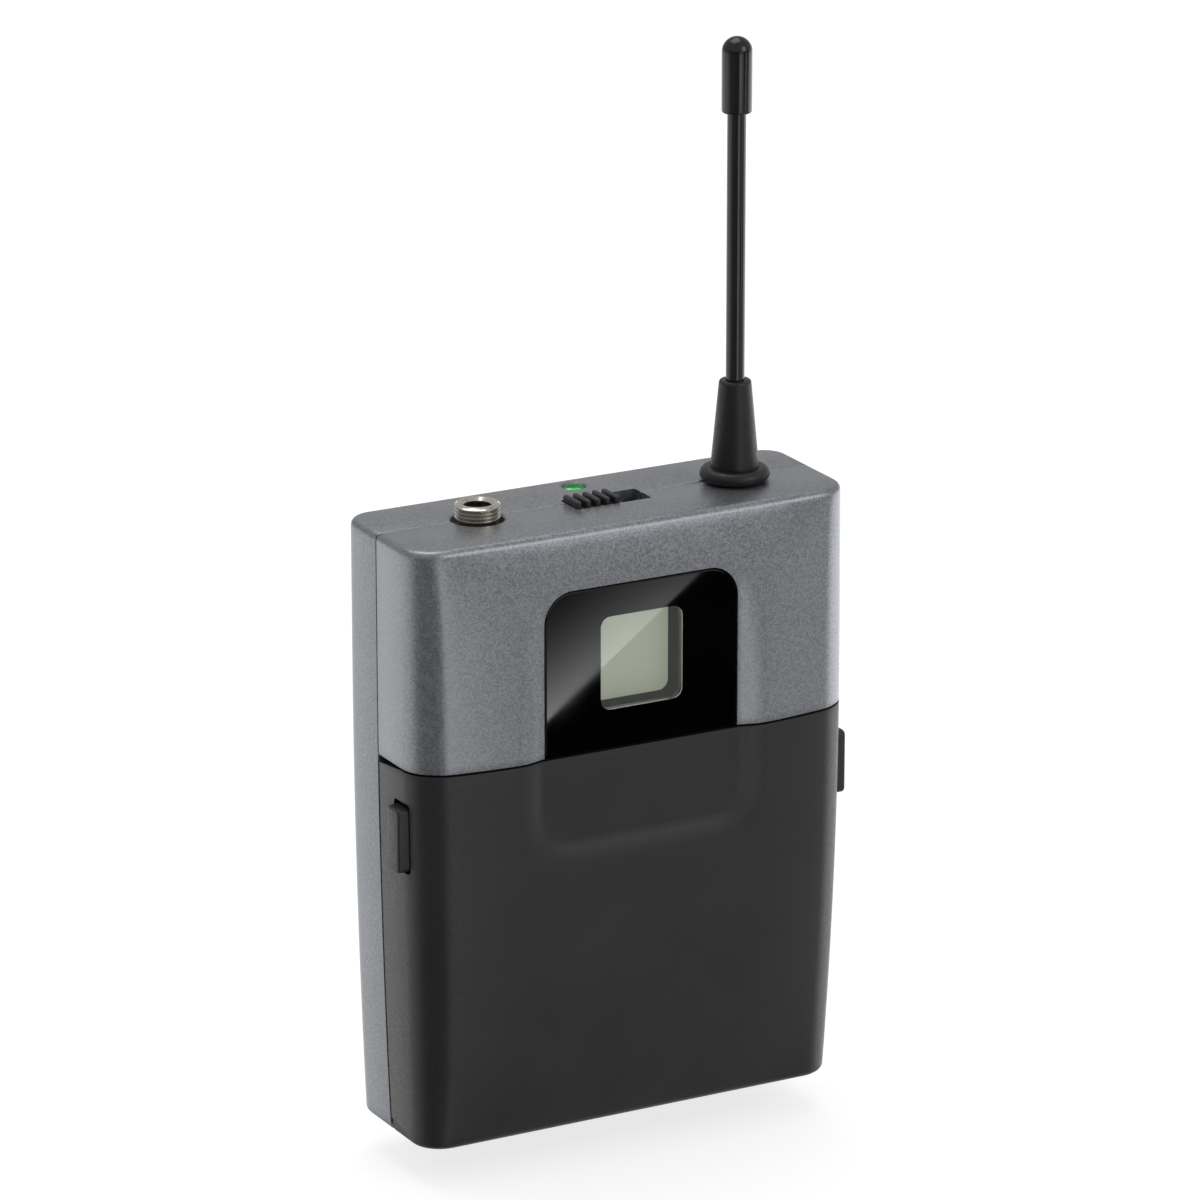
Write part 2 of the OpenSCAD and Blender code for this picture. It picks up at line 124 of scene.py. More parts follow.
def pick(kind, test):
    mesh = bmesh.from_edit_mesh(bpy.context.object.data)
    bpy.ops.mesh.select_all(action="DESELECT")
    bpy.context.tool_settings.mesh_select_mode = (kind == "verts", kind == "edges", kind == "faces")
    found = [part for part in getattr(mesh, kind) if test(part)]
    for part in found:
        part.select_set(True)
    mesh.select_flush_mode()
    bmesh.update_edit_mesh(bpy.context.object.data)
    return len(found)


def middle(part):
    return sum((v.co for v in part.verts), Vector()) / len(part.verts)


def along(edge, axis):
    way = (edge.verts[1].co - edge.verts[0].co).normalized()
    return abs(way[axis]) > 0.99


def addBox(name, low, high):
    freshStart()
    low, high = Vector(low), Vector(high)
    bpy.ops.mesh.primitive_cube_add(size=1, location=(low + high) / 2)
    piece = bpy.context.object
    piece.name = name
    piece.scale = high - low
    bpy.ops.object.transform_apply(location=True, rotation=True, scale=True)
    return piece


def addRod(name, start, end, radius, sides=32):
    freshStart()
    start, end = Vector(start), Vector(end)
    turned = (end - start).to_track_quat("Z", "Y").to_euler()
    bpy.ops.mesh.primitive_cylinder_add(vertices=sides, radius=radius, depth=(end - start).length,
                                        location=(start + end) / 2, rotation=turned)
    piece = bpy.context.object
    piece.name = name
    bpy.ops.object.transform_apply(location=True, rotation=True, scale=True)
    return piece


def bevelEdges(piece, test, size, segments=3):
    editAll(piece)
    if pick("edges", test):
        bpy.ops.mesh.bevel(offset=size, segments=segments, affect="EDGES", profile=0.5)
    bpy.ops.object.mode_set(mode="OBJECT")


def useModifier(piece, kind, **settings):
    only(piece)
    modifier = piece.modifiers.new(kind.lower(), kind)
    for name, value in settings.items():
        setattr(modifier, name, value)
    bpy.ops.object.modifier_apply(modifier=modifier.name)


def breakEdges(piece, size, angle=50):
    useModifier(piece, "BEVEL", width=size, segments=2, limit_method="ANGLE",
                angle_limit=math.radians(angle))


def carve(piece, cutter, operation="DIFFERENCE", crossesItself=False):
    useModifier(piece, "BOOLEAN", object=cutter, operation=operation, solver="EXACT",
                use_self=crossesItself)
    bpy.data.objects.remove(cutter)


def trim(piece, place, normal):
    editAll(piece)     # what lies on the normal's side of the plane is taken away
    bpy.ops.mesh.bisect(plane_co=place, plane_no=normal, clear_outer=True, threshold=1e-5)
    bpy.ops.object.mode_set(mode="OBJECT")


def cutAcross(piece, axis, places):
    editAll(piece)
    normal = [0, 0, 0]
    normal[axis] = 1
    for place in places:
        bpy.ops.mesh.select_all(action="SELECT")
        bpy.ops.mesh.bisect(plane_co=[place * n for n in normal], plane_no=normal, threshold=1e-5)
    bpy.ops.object.mode_set(mode="OBJECT")


def lathe(name, profile, origin, axis=2, steps=48):
    freshStart()       # profile points are (radius, distance along the axis)
    origin = Vector(origin)
    outward = Vector((0, 0, 1)) if axis == 0 else Vector((1, 0, 0))
    forward = Vector([1 if i == axis else 0 for i in range(3)])
    points = [origin + outward * radius + forward * distance for radius, distance in profile]
    bpy.ops.mesh.primitive_plane_add(size=1, location=points[0])
    piece = bpy.context.object
    piece.name = name
    bpy.ops.object.transform_apply(location=True, rotation=True, scale=True)
    bpy.ops.object.mode_set(mode="EDIT")
    bpy.context.tool_settings.mesh_select_mode = (True, False, False)
    bpy.ops.mesh.select_all(action="SELECT")
    bpy.ops.mesh.merge(type="CENTER")
    for last, point in zip(points, points[1:]):
        bpy.ops.mesh.extrude_region_move(TRANSFORM_OT_translate={"value": point - last})
    bpy.ops.mesh.select_all(action="SELECT")
    bpy.ops.mesh.spin(steps=steps, angle=math.tau, center=origin, axis=forward)
    bpy.ops.mesh.select_all(action="SELECT")
    bpy.ops.mesh.remove_doubles(threshold=0.0005)
    bpy.ops.mesh.normals_make_consistent(inside=False)
    bpy.ops.object.mode_set(mode="OBJECT")
    return piece


def roundEnd(radius, centre, start, stop, count=6):
    steps = [math.radians(start + (stop - start) * i / count) for i in range(count + 1)]
    return [(centre[0] + radius * math.cos(a), centre[1] + radius * math.sin(a)) for a in steps]


def joined(name, parts):
    only(parts[0])
    for part in parts[1:]:
        part.select_set(True)
    bpy.ops.object.join()
    parts[0].name = name
    return parts[0]


def duplicateOf(piece, name, shift=(0, 0, 0)):
    only(piece)
    bpy.ops.object.duplicate()
    twin = bpy.context.object
    twin.name = name
    twin.location = shift
    bpy.ops.object.transform_apply(location=True, rotation=True, scale=True)
    return twin


def mirrored(piece, name):
    twin = duplicateOf(piece, name)
    twin.scale.x = -1
    only(twin)
    bpy.ops.object.transform_apply(location=True, rotation=True, scale=True)
    editAll(twin)
    bpy.ops.mesh.flip_normals()
    bpy.ops.object.mode_set(mode="OBJECT")
    return twin


def finishPiece(piece, body, nodes, material, angle=35):
    only(piece)
    piece.scale = (mm, mm, mm)
    bpy.ops.object.transform_apply(location=True, rotation=True, scale=True)
    bpy.ops.object.shade_smooth_by_angle(angle=math.radians(angle))
    piece.data.materials.clear()
    piece.data.materials.append(material)
    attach(piece, body)
    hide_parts(*nodes)
    print("finished", piece.name)


# material helpers

def linear(hexColour):
    parts = [int(hexColour[i:i + 2], 16) / 255 for i in (1, 3, 5)]
    return [c / 12.92 if c <= 0.04045 else ((c + 0.055) / 1.055) ** 2.4 for c in parts] + [1]


def connect(tree, node, links):
    for name, source in links.items():
        socket = source.outputs[0] if hasattr(source, "outputs") else source
        tree.links.new(socket, node.inputs[name])


def addNode(tree, kind, settings=None, links=None):
    node = tree.nodes.new("ShaderNode" + kind)
    for name, value in (settings or {}).items():
        if name == "stops":      # colour ramp, from the first stop to the last
            for element, (place, colour) in zip(node.color_ramp.elements, (value[0], value[-1])):
                element.position = place
                element.color = linear(colour)
            for place, colour in value[1:-1]:
                node.color_ramp.elements.new(place).color = linear(colour)
        elif isinstance(name, str) and hasattr(node, name):
            setattr(node, name, value)
        else:
            node.inputs[name].default_value = value
    connect(tree, node, links or {})
    return node


def newMaterial(name, colour, roughness, metallic=0.0, **sockets):
    material = bpy.data.materials.new(name)
    material.use_nodes = True
    shader = material.node_tree.nodes["Principled BSDF"]
    shader.inputs["Base Color"].default_value = linear(colour)
    shader.inputs["Roughness"].default_value = roughness
    shader.inputs["Metallic"].default_value = metallic
    for socket, value in sockets.items():
        shader.inputs[socket.replace("_", " ")].default_value = value
    place = addNode(material.node_tree, "TexCoord").outputs["Object"]
    return material, material.node_tree, shader, place


# fine metallic lacquer on moulded plastic: flakes glint singly under a thin clear coat
def metallicLacquer():
    material, tree, shader, place = newMaterial("metallicLacquer", "#7b7e85", 0.38, 0.85,
                                                Coat_Weight=0.1, Coat_Roughness=0.3)
    flakes = addNode(tree, "TexVoronoi", {"Scale": 1 / (0.2 * mm)}, {"Vector": place})
    flake = addNode(tree, "SeparateColor", {}, {"Color": flakes.outputs["Color"]})
    cloud = addNode(tree, "TexNoise", {"Scale": 1 / (9 * mm)}, {"Vector": place})
    shade = addNode(tree, "Math", {"operation": "MULTIPLY_ADD", 1: 0.2}, {0: cloud, 2: flake})
    spread = addNode(tree, "MapRange", {"From Max": 1.2}, {"Value": shade})
    colour = addNode(tree, "ValToRGB", {"stops": [(0, "#7a7c80"), (1, "#a0a3a8")]}, {"Fac": spread})
    gloss = addNode(tree, "MapRange", {"To Min": 0.33, "To Max": 0.44}, {"Value": flake})
    relief = addNode(tree, "Bump", {"Strength": 0.5, "Distance": 0.006 * mm}, {"Height": flake})
    connect(tree, shader, {"Base Color": colour, "Roughness": gloss, "Normal": relief})
    return material


# charcoal ABS from a spark-eroded tool: a fine dull tooth, slightly paler where hands polish it
def sparkErodedAbs():
    material, tree, shader, place = newMaterial("sparkErodedAbs", "#1c1c1d", 0.45, IOR=1.53)
    tooth = addNode(tree, "TexNoise", {"Scale": 1 / (0.28 * mm), "Detail": 3}, {"Vector": place})
    wear = addNode(tree, "TexNoise", {"Scale": 1 / (14 * mm)}, {"Vector": place})
    colour = addNode(tree, "ValToRGB", {"stops": [(0.3, "#19191a"), (0.7, "#212122")]}, {"Fac": wear})
    gloss = addNode(tree, "MapRange", {"From Min": 0.3, "From Max": 0.7, "To Min": 0.36, "To Max": 0.52},
                    {"Value": tooth})
    relief = addNode(tree, "Bump", {"Strength": 0.6, "Distance": 0.02 * mm}, {"Height": tooth})
    connect(tree, shader, {"Base Color": colour, "Roughness": gloss, "Normal": relief})
    return material


# unpainted inner mouldings, smoother and a little oily
def smoothAbs():
    material, tree, shader, place = newMaterial("smoothAbs", "#212122", 0.38, IOR=1.53)
    flow = addNode(tree, "TexNoise", {"Scale": 1 / (6 * mm)}, {"Vector": place})
    skin = addNode(tree, "TexNoise", {"Scale": 1 / (0.6 * mm)}, {"Vector": place})
    colour = addNode(tree, "ValToRGB", {"stops": [(0.3, "#1b1b1c"), (0.7, "#29292a")]}, {"Fac": flow})
    relief = addNode(tree, "Bump", {"Strength": 0.4, "Distance": 0.01 * mm}, {"Height": skin})
    connect(tree, shader, {"Base Color": colour, "Normal": relief})
    return material


# screen-printed mask behind the window: dead flat black with a slightly mottled film
def printedMask():
    material, tree, shader, place = newMaterial("printedBlackMask", "#020202", 0.8, Specular_IOR_Level=0.05)
    film = addNode(tree, "TexNoise", {"Scale": 1 / (2 * mm)}, {"Vector": place})
    colour = addNode(tree, "ValToRGB", {"stops": [(0.3, "#020202"), (0.7, "#060606")]}, {"Fac": film})
    connect(tree, shader, {"Base Color": colour})
    return material


# plated or bare metal: even colour, with fine marks that vary the gloss
def platedMetal(name, colour, roughness, markMm, depthMm):
    material, tree, shader, place = newMaterial(name, colour, roughness, 1.0)
    marks = addNode(tree, "TexNoise", {"Scale": 1 / (markMm * mm), "Detail": 4}, {"Vector": place})
    gloss = addNode(tree, "MapRange", {"From Min": 0.3, "From Max": 0.7, "To Min": roughness * 0.75,
                                       "To Max": roughness * 1.4}, {"Value": marks})
    relief = addNode(tree, "Bump", {"Strength": 0.5, "Distance": depthMm * mm}, {"Height": marks})
    connect(tree, shader, {"Roughness": gloss, "Normal": relief})
    return material


# drawn spring wire: long fine streaks
def drawnWire():
    material, tree, shader, place = newMaterial("drawnNickelWire", "#c4c2bd", 0.25, 1.0)
    stretched = addNode(tree, "Mapping", {"Scale": (1, 1, 0.08)}, {"Vector": place})
    streaks = addNode(tree, "TexNoise", {"Scale": 1 / (0.25 * mm), "Detail": 3}, {"Vector": stretched})
    gloss = addNode(tree, "MapRange", {"From Min": 0.3, "From Max": 0.7, "To Min": 0.18, "To Max": 0.34},
                    {"Value": streaks})
    relief = addNode(tree, "Bump", {"Strength": 0.4, "Distance": 0.004 * mm}, {"Height": streaks})
    connect(tree, shader, {"Roughness": gloss, "Normal": relief})
    return material


# glass-epoxy board under green solder mask: copper tracks show through as a paler net
def solderMask():
    material, tree, shader, place = newMaterial("greenSolderMask", "#12482a", 0.3, IOR=1.5)
    turned = addNode(tree, "Mapping", {"Rotation": (math.pi / 2, 0, 0)}, {"Vector": place})
    tracks = addNode(tree, "TexBrick", {"Scale": 1 / (4 * mm), "Mortar Size": 0.06}, {"Vector": turned})
    track = tracks.outputs["Fac"]
    colour = addNode(tree, "ValToRGB", {"stops": [(0, "#0f3d24"), (1, "#2a6b42")]}, {"Fac": track})
    relief = addNode(tree, "Bump", {"Distance": 0.03 * mm}, {"Height": track})
    connect(tree, shader, {"Base Color": colour, "Normal": relief})
    return material


# shrink sleeve of a cell: dark body with a plain pale band towards its positive end
def shrinkSleeve(name, bandEnd):
    material, tree, shader, place = newMaterial(name, "#1d1e22", 0.28, IOR=1.5, Coat_Weight=0.3)
    across = addNode(tree, "SeparateXYZ", {}, {"Vector": place})
    away = addNode(tree, "Math", {"operation": "MULTIPLY", 1: bandEnd}, {0: across})
    band = addNode(tree, "Math", {"operation": "GREATER_THAN", 1: 14 * mm}, {0: away})
    colour = addNode(tree, "ValToRGB", {"stops": [(0, "#1d1e22"), (1, "#8f9297")]}, {"Fac": band})
    folds = addNode(tree, "TexNoise", {"Scale": 1 / (3 * mm)}, {"Vector": place})
    relief = addNode(tree, "Bump", {"Strength": 0.3, "Distance": 0.03 * mm}, {"Height": folds})
    connect(tree, shader, {"Base Color": colour, "Normal": relief})
    return material


# hard moulded key, satin
def mouldedKey(name, darkHex, lightHex):
    material, tree, shader, place = newMaterial(name, lightHex, 0.42, IOR=1.5)
    flow = addNode(tree, "TexNoise", {"Scale": 1 / (5 * mm)}, {"Vector": place})
    skin = addNode(tree, "TexNoise", {"Scale": 1 / (0.3 * mm)}, {"Vector": place})
    colour = addNode(tree, "ValToRGB", {"stops": [(0.3, darkHex), (0.7, lightHex)]}, {"Fac": flow})
    relief = addNode(tree, "Bump", {"Strength": 0.4, "Distance": 0.008 * mm}, {"Height": skin})
    connect(tree, shader, {"Base Color": colour, "Normal": relief})
    return material


# cast acrylic, painted black behind: mirror-flat with faint wipe marks
def blackAcrylic():
    material, tree, shader, place = newMaterial("polishedBlackAcrylic", "#030303", 0.02, IOR=1.49)
    wipes = addNode(tree, "TexNoise", {"Scale": 1 / (12 * mm), "Detail": 4}, {"Vector": place})
    gloss = addNode(tree, "MapRange", {"From Min": 0.3, "From Max": 0.7, "To Min": 0.01, "To Max": 0.035},
                    {"Value": wipes})
    colour = addNode(tree, "ValToRGB", {"stops": [(0.3, "#020202"), (0.7, "#050505")]}, {"Fac": wipes})
    connect(tree, shader, {"Base Color": colour, "Roughness": gloss})
    return material


# the same acrylic, left clear over the display
def clearAcrylic():
    material, tree, shader, place = newMaterial("clearAcrylic", "#ffffff", 0.0, IOR=1.49,
                                                Transmission_Weight=1.0)
    wipes = addNode(tree, "TexNoise", {"Scale": 1 / (12 * mm), "Detail": 4}, {"Vector": place})
    gloss = addNode(tree, "MapRange", {"From Min": 0.3, "From Max": 0.7, "To Max": 0.012},
                    {"Value": wipes})
    connect(tree, shader, {"Roughness": gloss})
    return material


# reflective liquid crystal behind its polariser: grey-green with the faint grid of its dots, and a painted
# glow in the same colour that stands in for the light falling on it
def liquidCrystal():
    # the emission is painted light: the crystal has no backlight, and its own colour feeds the glow
    material, tree, shader, place = newMaterial("greyGreenCrystalPaintedGlow", "#99a08f", 0.35, IOR=1.5,
                                                Emission_Strength=0.56)
    turned = addNode(tree, "Mapping", {"Rotation": (math.pi / 2, 0, 0)}, {"Vector": place})
    dots = addNode(tree, "TexBrick", {"offset": 0.0, "Scale": 1 / (0.5 * mm), "Mortar Size": 0.02,
                                      "Brick Width": 1.0, "Row Height": 1.0}, {"Vector": turned})
    colour = addNode(tree, "ValToRGB", {"stops": [(0, "#949c89"), (1, "#8e9684")]},
                     {"Fac": dots.outputs["Fac"]})
    connect(tree, shader, {"Base Color": colour, "Emission Color": colour})
    return material


# light pipe of green-tinted polycarbonate, lit from its chip below
def litLens():
    material, tree, shader, place = newMaterial("litGreenLens", "#38c653", 0.12, IOR=1.58,
                                                Emission_Strength=1.1, Coat_Weight=0.6)
    glow = addNode(tree, "TexNoise", {"Scale": 1 / (1.2 * mm), "Detail": 0.0}, {"Vector": place})
    colour = addNode(tree, "ValToRGB", {"stops": [(0.3, "#1fa83c"), (0.7, "#8df09b")]}, {"Fac": glow})
    connect(tree, shader, {"Base Color": colour, "Emission Color": colour})
    return material


# flexible elastomer: satin where it flexes, drawn glossy on the whip
def elastomer(name, roughness, toothMm, depthMm):
    material, tree, shader, place = newMaterial(name, "#111112", roughness, IOR=1.5)
    tooth = addNode(tree, "TexNoise", {"Scale": 1 / (toothMm * mm), "Detail": 3}, {"Vector": place})
    bloom = addNode(tree, "TexNoise", {"Scale": 1 / (7 * mm)}, {"Vector": place})
    gloss = addNode(tree, "MapRange", {"From Min": 0.3, "From Max": 0.7, "To Min": roughness * 0.8,
                                       "To Max": roughness * 1.3}, {"Value": tooth})
    colour = addNode(tree, "ValToRGB", {"stops": [(0.3, "#0c0c0d"), (0.7, "#171718")]}, {"Fac": bloom})
    relief = addNode(tree, "Bump", {"Strength": 0.5, "Distance": depthMm * mm}, {"Height": tooth})
    connect(tree, shader, {"Base Color": colour, "Roughness": gloss, "Normal": relief})
    return material


# moulded epoxy package, or the white body of a light-emitting chip
def chipPackage(name, darkHex, lightHex):
    material, tree, shader, place = newMaterial(name, lightHex, 0.55, IOR=1.5)
    filler = addNode(tree, "TexNoise", {"Scale": 1 / (0.4 * mm)}, {"Vector": place})
    colour = addNode(tree, "ValToRGB", {"stops": [(0.3, darkHex), (0.7, lightHex)]}, {"Fac": filler})
    relief = addNode(tree, "Bump", {"Strength": 0.5, "Distance": 0.01 * mm}, {"Height": filler})
    connect(tree, shader, {"Base Color": colour, "Normal": relief})
    return material


finish = {
    "lacquer": metallicLacquer(),
    "cover": sparkErodedAbs(),
    "inner": smoothAbs(),
    "nickel": platedMetal("brightNickel", "#cfc9bf", 0.16, 0.5, 0.003),
    "steel": platedMetal("groundSteel", "#b4b4b3", 0.3, 0.15, 0.004),
    "zinc": platedMetal("blackZinc", "#3a3a3d", 0.38, 0.3, 0.006),
    "tin": platedMetal("tinPlate", "#bdbdb9", 0.34, 1.2, 0.01),
    "brass": platedMetal("turnedBrass", "#c9a45e", 0.28, 0.3, 0.005),
    "wire": drawnWire(),
    "board": solderMask(),
    "sleeve": shrinkSleeve("shrinkSleeve", 1),
    "sleeveTurned": shrinkSleeve("shrinkSleeveTurned", -1),
    "mask": printedMask(),
    "redKey": mouldedKey("mouldedRedKey", "#8e1f22", "#a5282b"),
    "greyKey": mouldedKey("mouldedGreyKey", "#9a9da1", "#adb0b4"),
    "pane": blackAcrylic(),
    "clear": clearAcrylic(),
    "crystal": liquidCrystal(),
    "lens": litLens(),
    "satin": elastomer("satinElastomer", 0.42, 0.3, 0.01),
    "gloss": elastomer("glossElastomer", 0.16, 2.5, 0.01),
    "epoxy": chipPackage("blackEpoxy", "#151516", "#202022"),
    "package": chipPackage("whitePackage", "#d2d2cb", "#e4e4de"),
}
print("materials ready")


# camera

cameraPlace = {"azimuth": -28.5, "elevation": 18.0, "distance": 0.92, "lens": 212,
               "target": (0.0013, 0, 0.0676)}
azimuth = math.radians(cameraPlace["azimuth"])
elevation = math.radians(cameraPlace["elevation"])
cameraBack = Vector((math.sin(azimuth) * math.cos(elevation), -math.cos(azimuth) * math.cos(elevation),
                     math.sin(elevation)))
cameraAt = Vector(cameraPlace["target"]) + cameraBack * cameraPlace["distance"]
freshStart()
bpy.ops.object.camera_add(location=cameraAt, rotation=(-cameraBack).to_track_quat("-Z", "Y").to_euler())
camera = bpy.context.object
camera.data.lens = cameraPlace["lens"]
camera.data.clip_start = 0.01
bpy.context.scene.camera = camera


# pale floor, white room, soft lights

def staged(obj, **hidden):
    for name, value in hidden.items():
        setattr(obj, name, value)


studio = {
    "floorSize": 6.0,
    "floorDrop": 0.0052,  # keeps the floor clear of the open cover
    "low": 2.0,           # brightness of the room below the horizon, as off a white table
    "high": 0.65,         # and above it
    "foot": 0.4,          # share of the low brightness that is left well below the horizon
    "ceiling": "#e2e2e2",
    "horizon": (-0.22, 0.02),     # these three pass from one level to the next, and are sines
    "footFade": (-0.55, -0.36),   # of the elevation
    "ceilingFade": (0.06, 0.2),
    "walls": [            # degrees from straight ahead, positive to the right, and grey level
        (-180, "#d0d0d0"), (-104, "#d0d0d0"), (-80, "#707070"), (-40, "#606060"), (-13, "#484848"),
        (-9, "#ffffff"), (0, "#ffffff"), (5, "#c0c0c0"), (14, "#c8c8c8"), (20, "#a0a0a0"),
        (24, "#000000"), (31, "#000000"), (36, "#c8c8c8"), (44, "#c8c8c8"), (50, "#707070"),
        (63, "#606060"), (70, "#ffffff"), (150, "#ffffff"), (180, "#d0d0d0"),
    ],
    "lights": [           # place, size, power, aimed at the middle of the case
        ("frontSoft", (0.40, -0.75, 0.50), 0.5, 1.6),
        ("topSoft", (0.0, 0.25, 1.0), 0.7, 3),
    ],
}

freshStart()
bpy.ops.mesh.primitive_plane_add(size=studio["floorSize"], location=(0, 0, -studio["floorDrop"]))
floor = bpy.context.object
floor.name = "paleFloor"
floorMaterial = newMaterial("matteFloor", "#b4b4b4", 0.9, Emission_Color=(1, 1, 1, 1),
                            Emission_Strength=0.72)[0]
floor.data.materials.append(floorMaterial)
staged(floor, visible_glossy=False, visible_diffuse=False, visible_shadow=False)

world = bpy.data.worlds.new("whiteRoom")
bpy.context.scene.world = world
world.use_nodes = True
roomTree = world.node_tree
roomWhite = roomTree.nodes["Background"]
roomWhite.inputs["Color"].default_value = (1, 1, 1, 1)
roomWay = addNode(roomTree, "TexCoord").outputs["Generated"]
roomFlip = addNode(roomTree, "Mapping", {"Scale": (1, -1, 1)}, {"Vector": roomWay})
roomAxes = addNode(roomTree, "SeparateXYZ", {}, {"Vector": roomFlip})
roomTurn = addNode(roomTree, "Math", {"operation": "ARCTAN2"},
                   {0: roomAxes.outputs["X"], 1: roomAxes.outputs["Y"]})
roomShare = addNode(roomTree, "MapRange", {"From Min": -math.pi, "From Max": math.pi}, {"Value": roomTurn})
roomStops = [((turn + 180) / 360, grey) for turn, grey in studio["walls"]]
roomWalls = addNode(roomTree, "ValToRGB", {"stops": roomStops}, {"Fac": roomShare})
roomUp = roomAxes.outputs["Z"]
roomLevel = addNode(roomTree, "MapRange", {"From Min": studio["horizon"][0],
                                           "From Max": studio["horizon"][1], "To Min": studio["low"],
                                           "To Max": studio["high"]}, {"Value": roomUp})
roomFoot = addNode(roomTree, "MapRange", {"From Min": studio["footFade"][0],
                                          "From Max": studio["footFade"][1],
                                          "To Min": studio["foot"]}, {"Value": roomUp})
roomPower = addNode(roomTree, "Math", {"operation": "MULTIPLY"}, {0: roomLevel, 1: roomFoot})
roomRise = addNode(roomTree, "MapRange", {"From Min": studio["ceilingFade"][0],
                                          "From Max": studio["ceilingFade"][1]}, {"Value": roomUp})
roomColour = addNode(roomTree, "Mix", {"data_type": "RGBA", 7: linear(studio["ceiling"])},
                     {0: roomRise, 6: roomWalls})
roomSoft = addNode(roomTree, "Background", {}, {"Color": roomColour.outputs[2], "Strength": roomPower})
roomSeen = addNode(roomTree, "LightPath").outputs["Is Camera Ray"]
roomMix = addNode(roomTree, "MixShader", {}, {0: roomSeen, 1: roomSoft, 2: roomWhite})
connect(roomTree, roomTree.nodes["World Output"], {"Surface": roomMix})

caseMiddle = Vector((0, 0, caseShape["height"] / 2)) * mm
for lightName, place, size, power in studio["lights"]:
    freshStart()
    aim = (caseMiddle - Vector(place)).to_track_quat("-Z", "Y").to_euler()
    bpy.ops.object.light_add(type="AREA", location=place, rotation=aim)
    bpy.context.object.name = lightName
    bpy.context.object.data.size = size
    bpy.context.object.data.energy = power

# a lit card whose mirror image lies across the window's upper left corner
cardPlace = {"edgeFrom": (-14.1, 57.3), "edgeTo": (8.9, 74.3), "reach": 0.5, "length": 0.08,
             "width": 0.032, "nearBright": 4.6, "farBright": 1.0, "brightHalf": 0.27, "fade": 3.4}


def mirroredOnCard(x, z):
    seen = Vector((x, paneLow.y, z)) * mm
    behind = Vector((cameraAt.x, 2 * paneLow.y * mm - cameraAt.y, cameraAt.z))
    return seen + (seen - behind) * cardPlace["reach"]


cardFrom = mirroredOnCard(*cardPlace["edgeFrom"])
cardTo = mirroredOnCard(*cardPlace["edgeTo"])
edgeMiddle = (cardFrom + cardTo) / 2
cardAlong = (cardTo - cardFrom).normalized()
toCorner = mirroredOnCard(cardPlace["edgeFrom"][0], cardPlace["edgeTo"][1]) - edgeMiddle
cardOut = (toCorner - cardAlong * toCorner.dot(cardAlong)).normalized()
cardMiddle = edgeMiddle + cardOut * cardPlace["width"] / 2
freshStart()
bpy.ops.mesh.primitive_plane_add(size=1)
card = bpy.context.object
card.name = "lightCard"
card.matrix_world = Matrix((cardAlong, cardOut, cardAlong.cross(cardOut))).transposed().to_4x4()
card.location = cardMiddle
card.scale = (cardPlace["length"], cardPlace["width"], 1)
cardMaterial = bpy.data.materials.new("cardGlow")
cardMaterial.use_nodes = True
cardTree = cardMaterial.node_tree
cardTree.nodes.remove(cardTree.nodes["Principled BSDF"])
cardWay = addNode(cardTree, "TexCoord").outputs["Object"]
cardAxes = addNode(cardTree, "SeparateXYZ", {}, {"Vector": cardWay})
cardLevel = addNode(cardTree, "MapRange", {"From Min": -cardPlace["brightHalf"],
                                           "From Max": cardPlace["brightHalf"],
                                           "To Min": cardPlace["nearBright"],
                                           "To Max": cardPlace["farBright"]}, {"Value": cardAxes})
cardFall = addNode(cardTree, "Math", {"operation": "SUBTRACT", 0: 0.5}, {1: cardAxes.outputs["Y"]})
cardFade = addNode(cardTree, "Math", {"operation": "POWER", 1: cardPlace["fade"]}, {0: cardFall})
cardPower = addNode(cardTree, "Math", {"operation": "MULTIPLY"}, {0: cardLevel, 1: cardFade})
cardGlow = addNode(cardTree, "Emission", {}, {"Strength": cardPower})
connect(cardTree, cardTree.nodes["Material Output"], {"Surface": cardGlow})
card.data.materials.append(cardMaterial)
staged(card, visible_camera=False, visible_diffuse=False, visible_shadow=False)
print("camera and lights ready")


# the case: one block is rounded, gridded and swelled, then divided into its three mouldings

def halfWidth(z):
    drawn = max(0, 1 - z / caseShape["taperFrom"])
    return caseShape["width"] / 2 - caseShape["taper"] * drawn ** 2


def edgeDepth(z):
    drawn = max(0, 1 - z / caseShape["footFrom"])
    bow = caseShape["bow"] * math.sin(math.pi * z / caseShape["height"])
    return caseShape["edgeDepth"] + bow - caseShape["footBack"] * drawn ** 2


def faceY(x, z):
    swell = caseShape["crown"] * (1 - abs(2 * z / caseShape["height"] - 1) ** caseShape["crownRise"])
    across = x / (halfWidth(z) - caseShape["frontRadius"] / 2)
    return caseShape["seam"] - edgeDepth(z) - swell * max(0, 1 - across ** caseShape["crownPower"])


# the sunk panel: flat round the window and the cover's middle, with banks that rise to the face
sunkPanel = {"halfWidth": 14.4, "low": 41.0, "high": 74.5, "corner": 3.6, "bank": 0.34, "foot": 0.5,
             "blend": 0.45,
             "columns": (14.4, 14.9, 15.6, 18.2),     # extra rows of the grid along the banks
             "rows": (37.6, 40.6, 41.4, 73.9, 74.9, 75.7, 78.2)}


def sunkY(x, z):
    middleZ = (sunkPanel["low"] + sunkPanel["high"]) / 2
    outX = abs(x) - (sunkPanel["halfWidth"] - sunkPanel["corner"])
    outZ = abs(z - middleZ) - ((sunkPanel["high"] - sunkPanel["low"]) / 2 - sunkPanel["corner"])
    away = math.hypot(max(outX, 0), max(outZ, 0)) + min(max(outX, outZ), 0) - sunkPanel["corner"]
    foot = sunkPanel["foot"]
    climb = 0 if away < 0 else away ** 2 / (2 * foot) if away < foot else away - foot / 2
    return paneLow.y - sunkPanel["bank"] * climb


def softMax(a, b, size):
    near = max(size - abs(a - b), 0) / size
    return max(a, b) + near * near * size / 4


def steps(low, high, size):
    count = round((high - low) / size)
    return [low + (high - low) * i / count for i in range(1, count)]


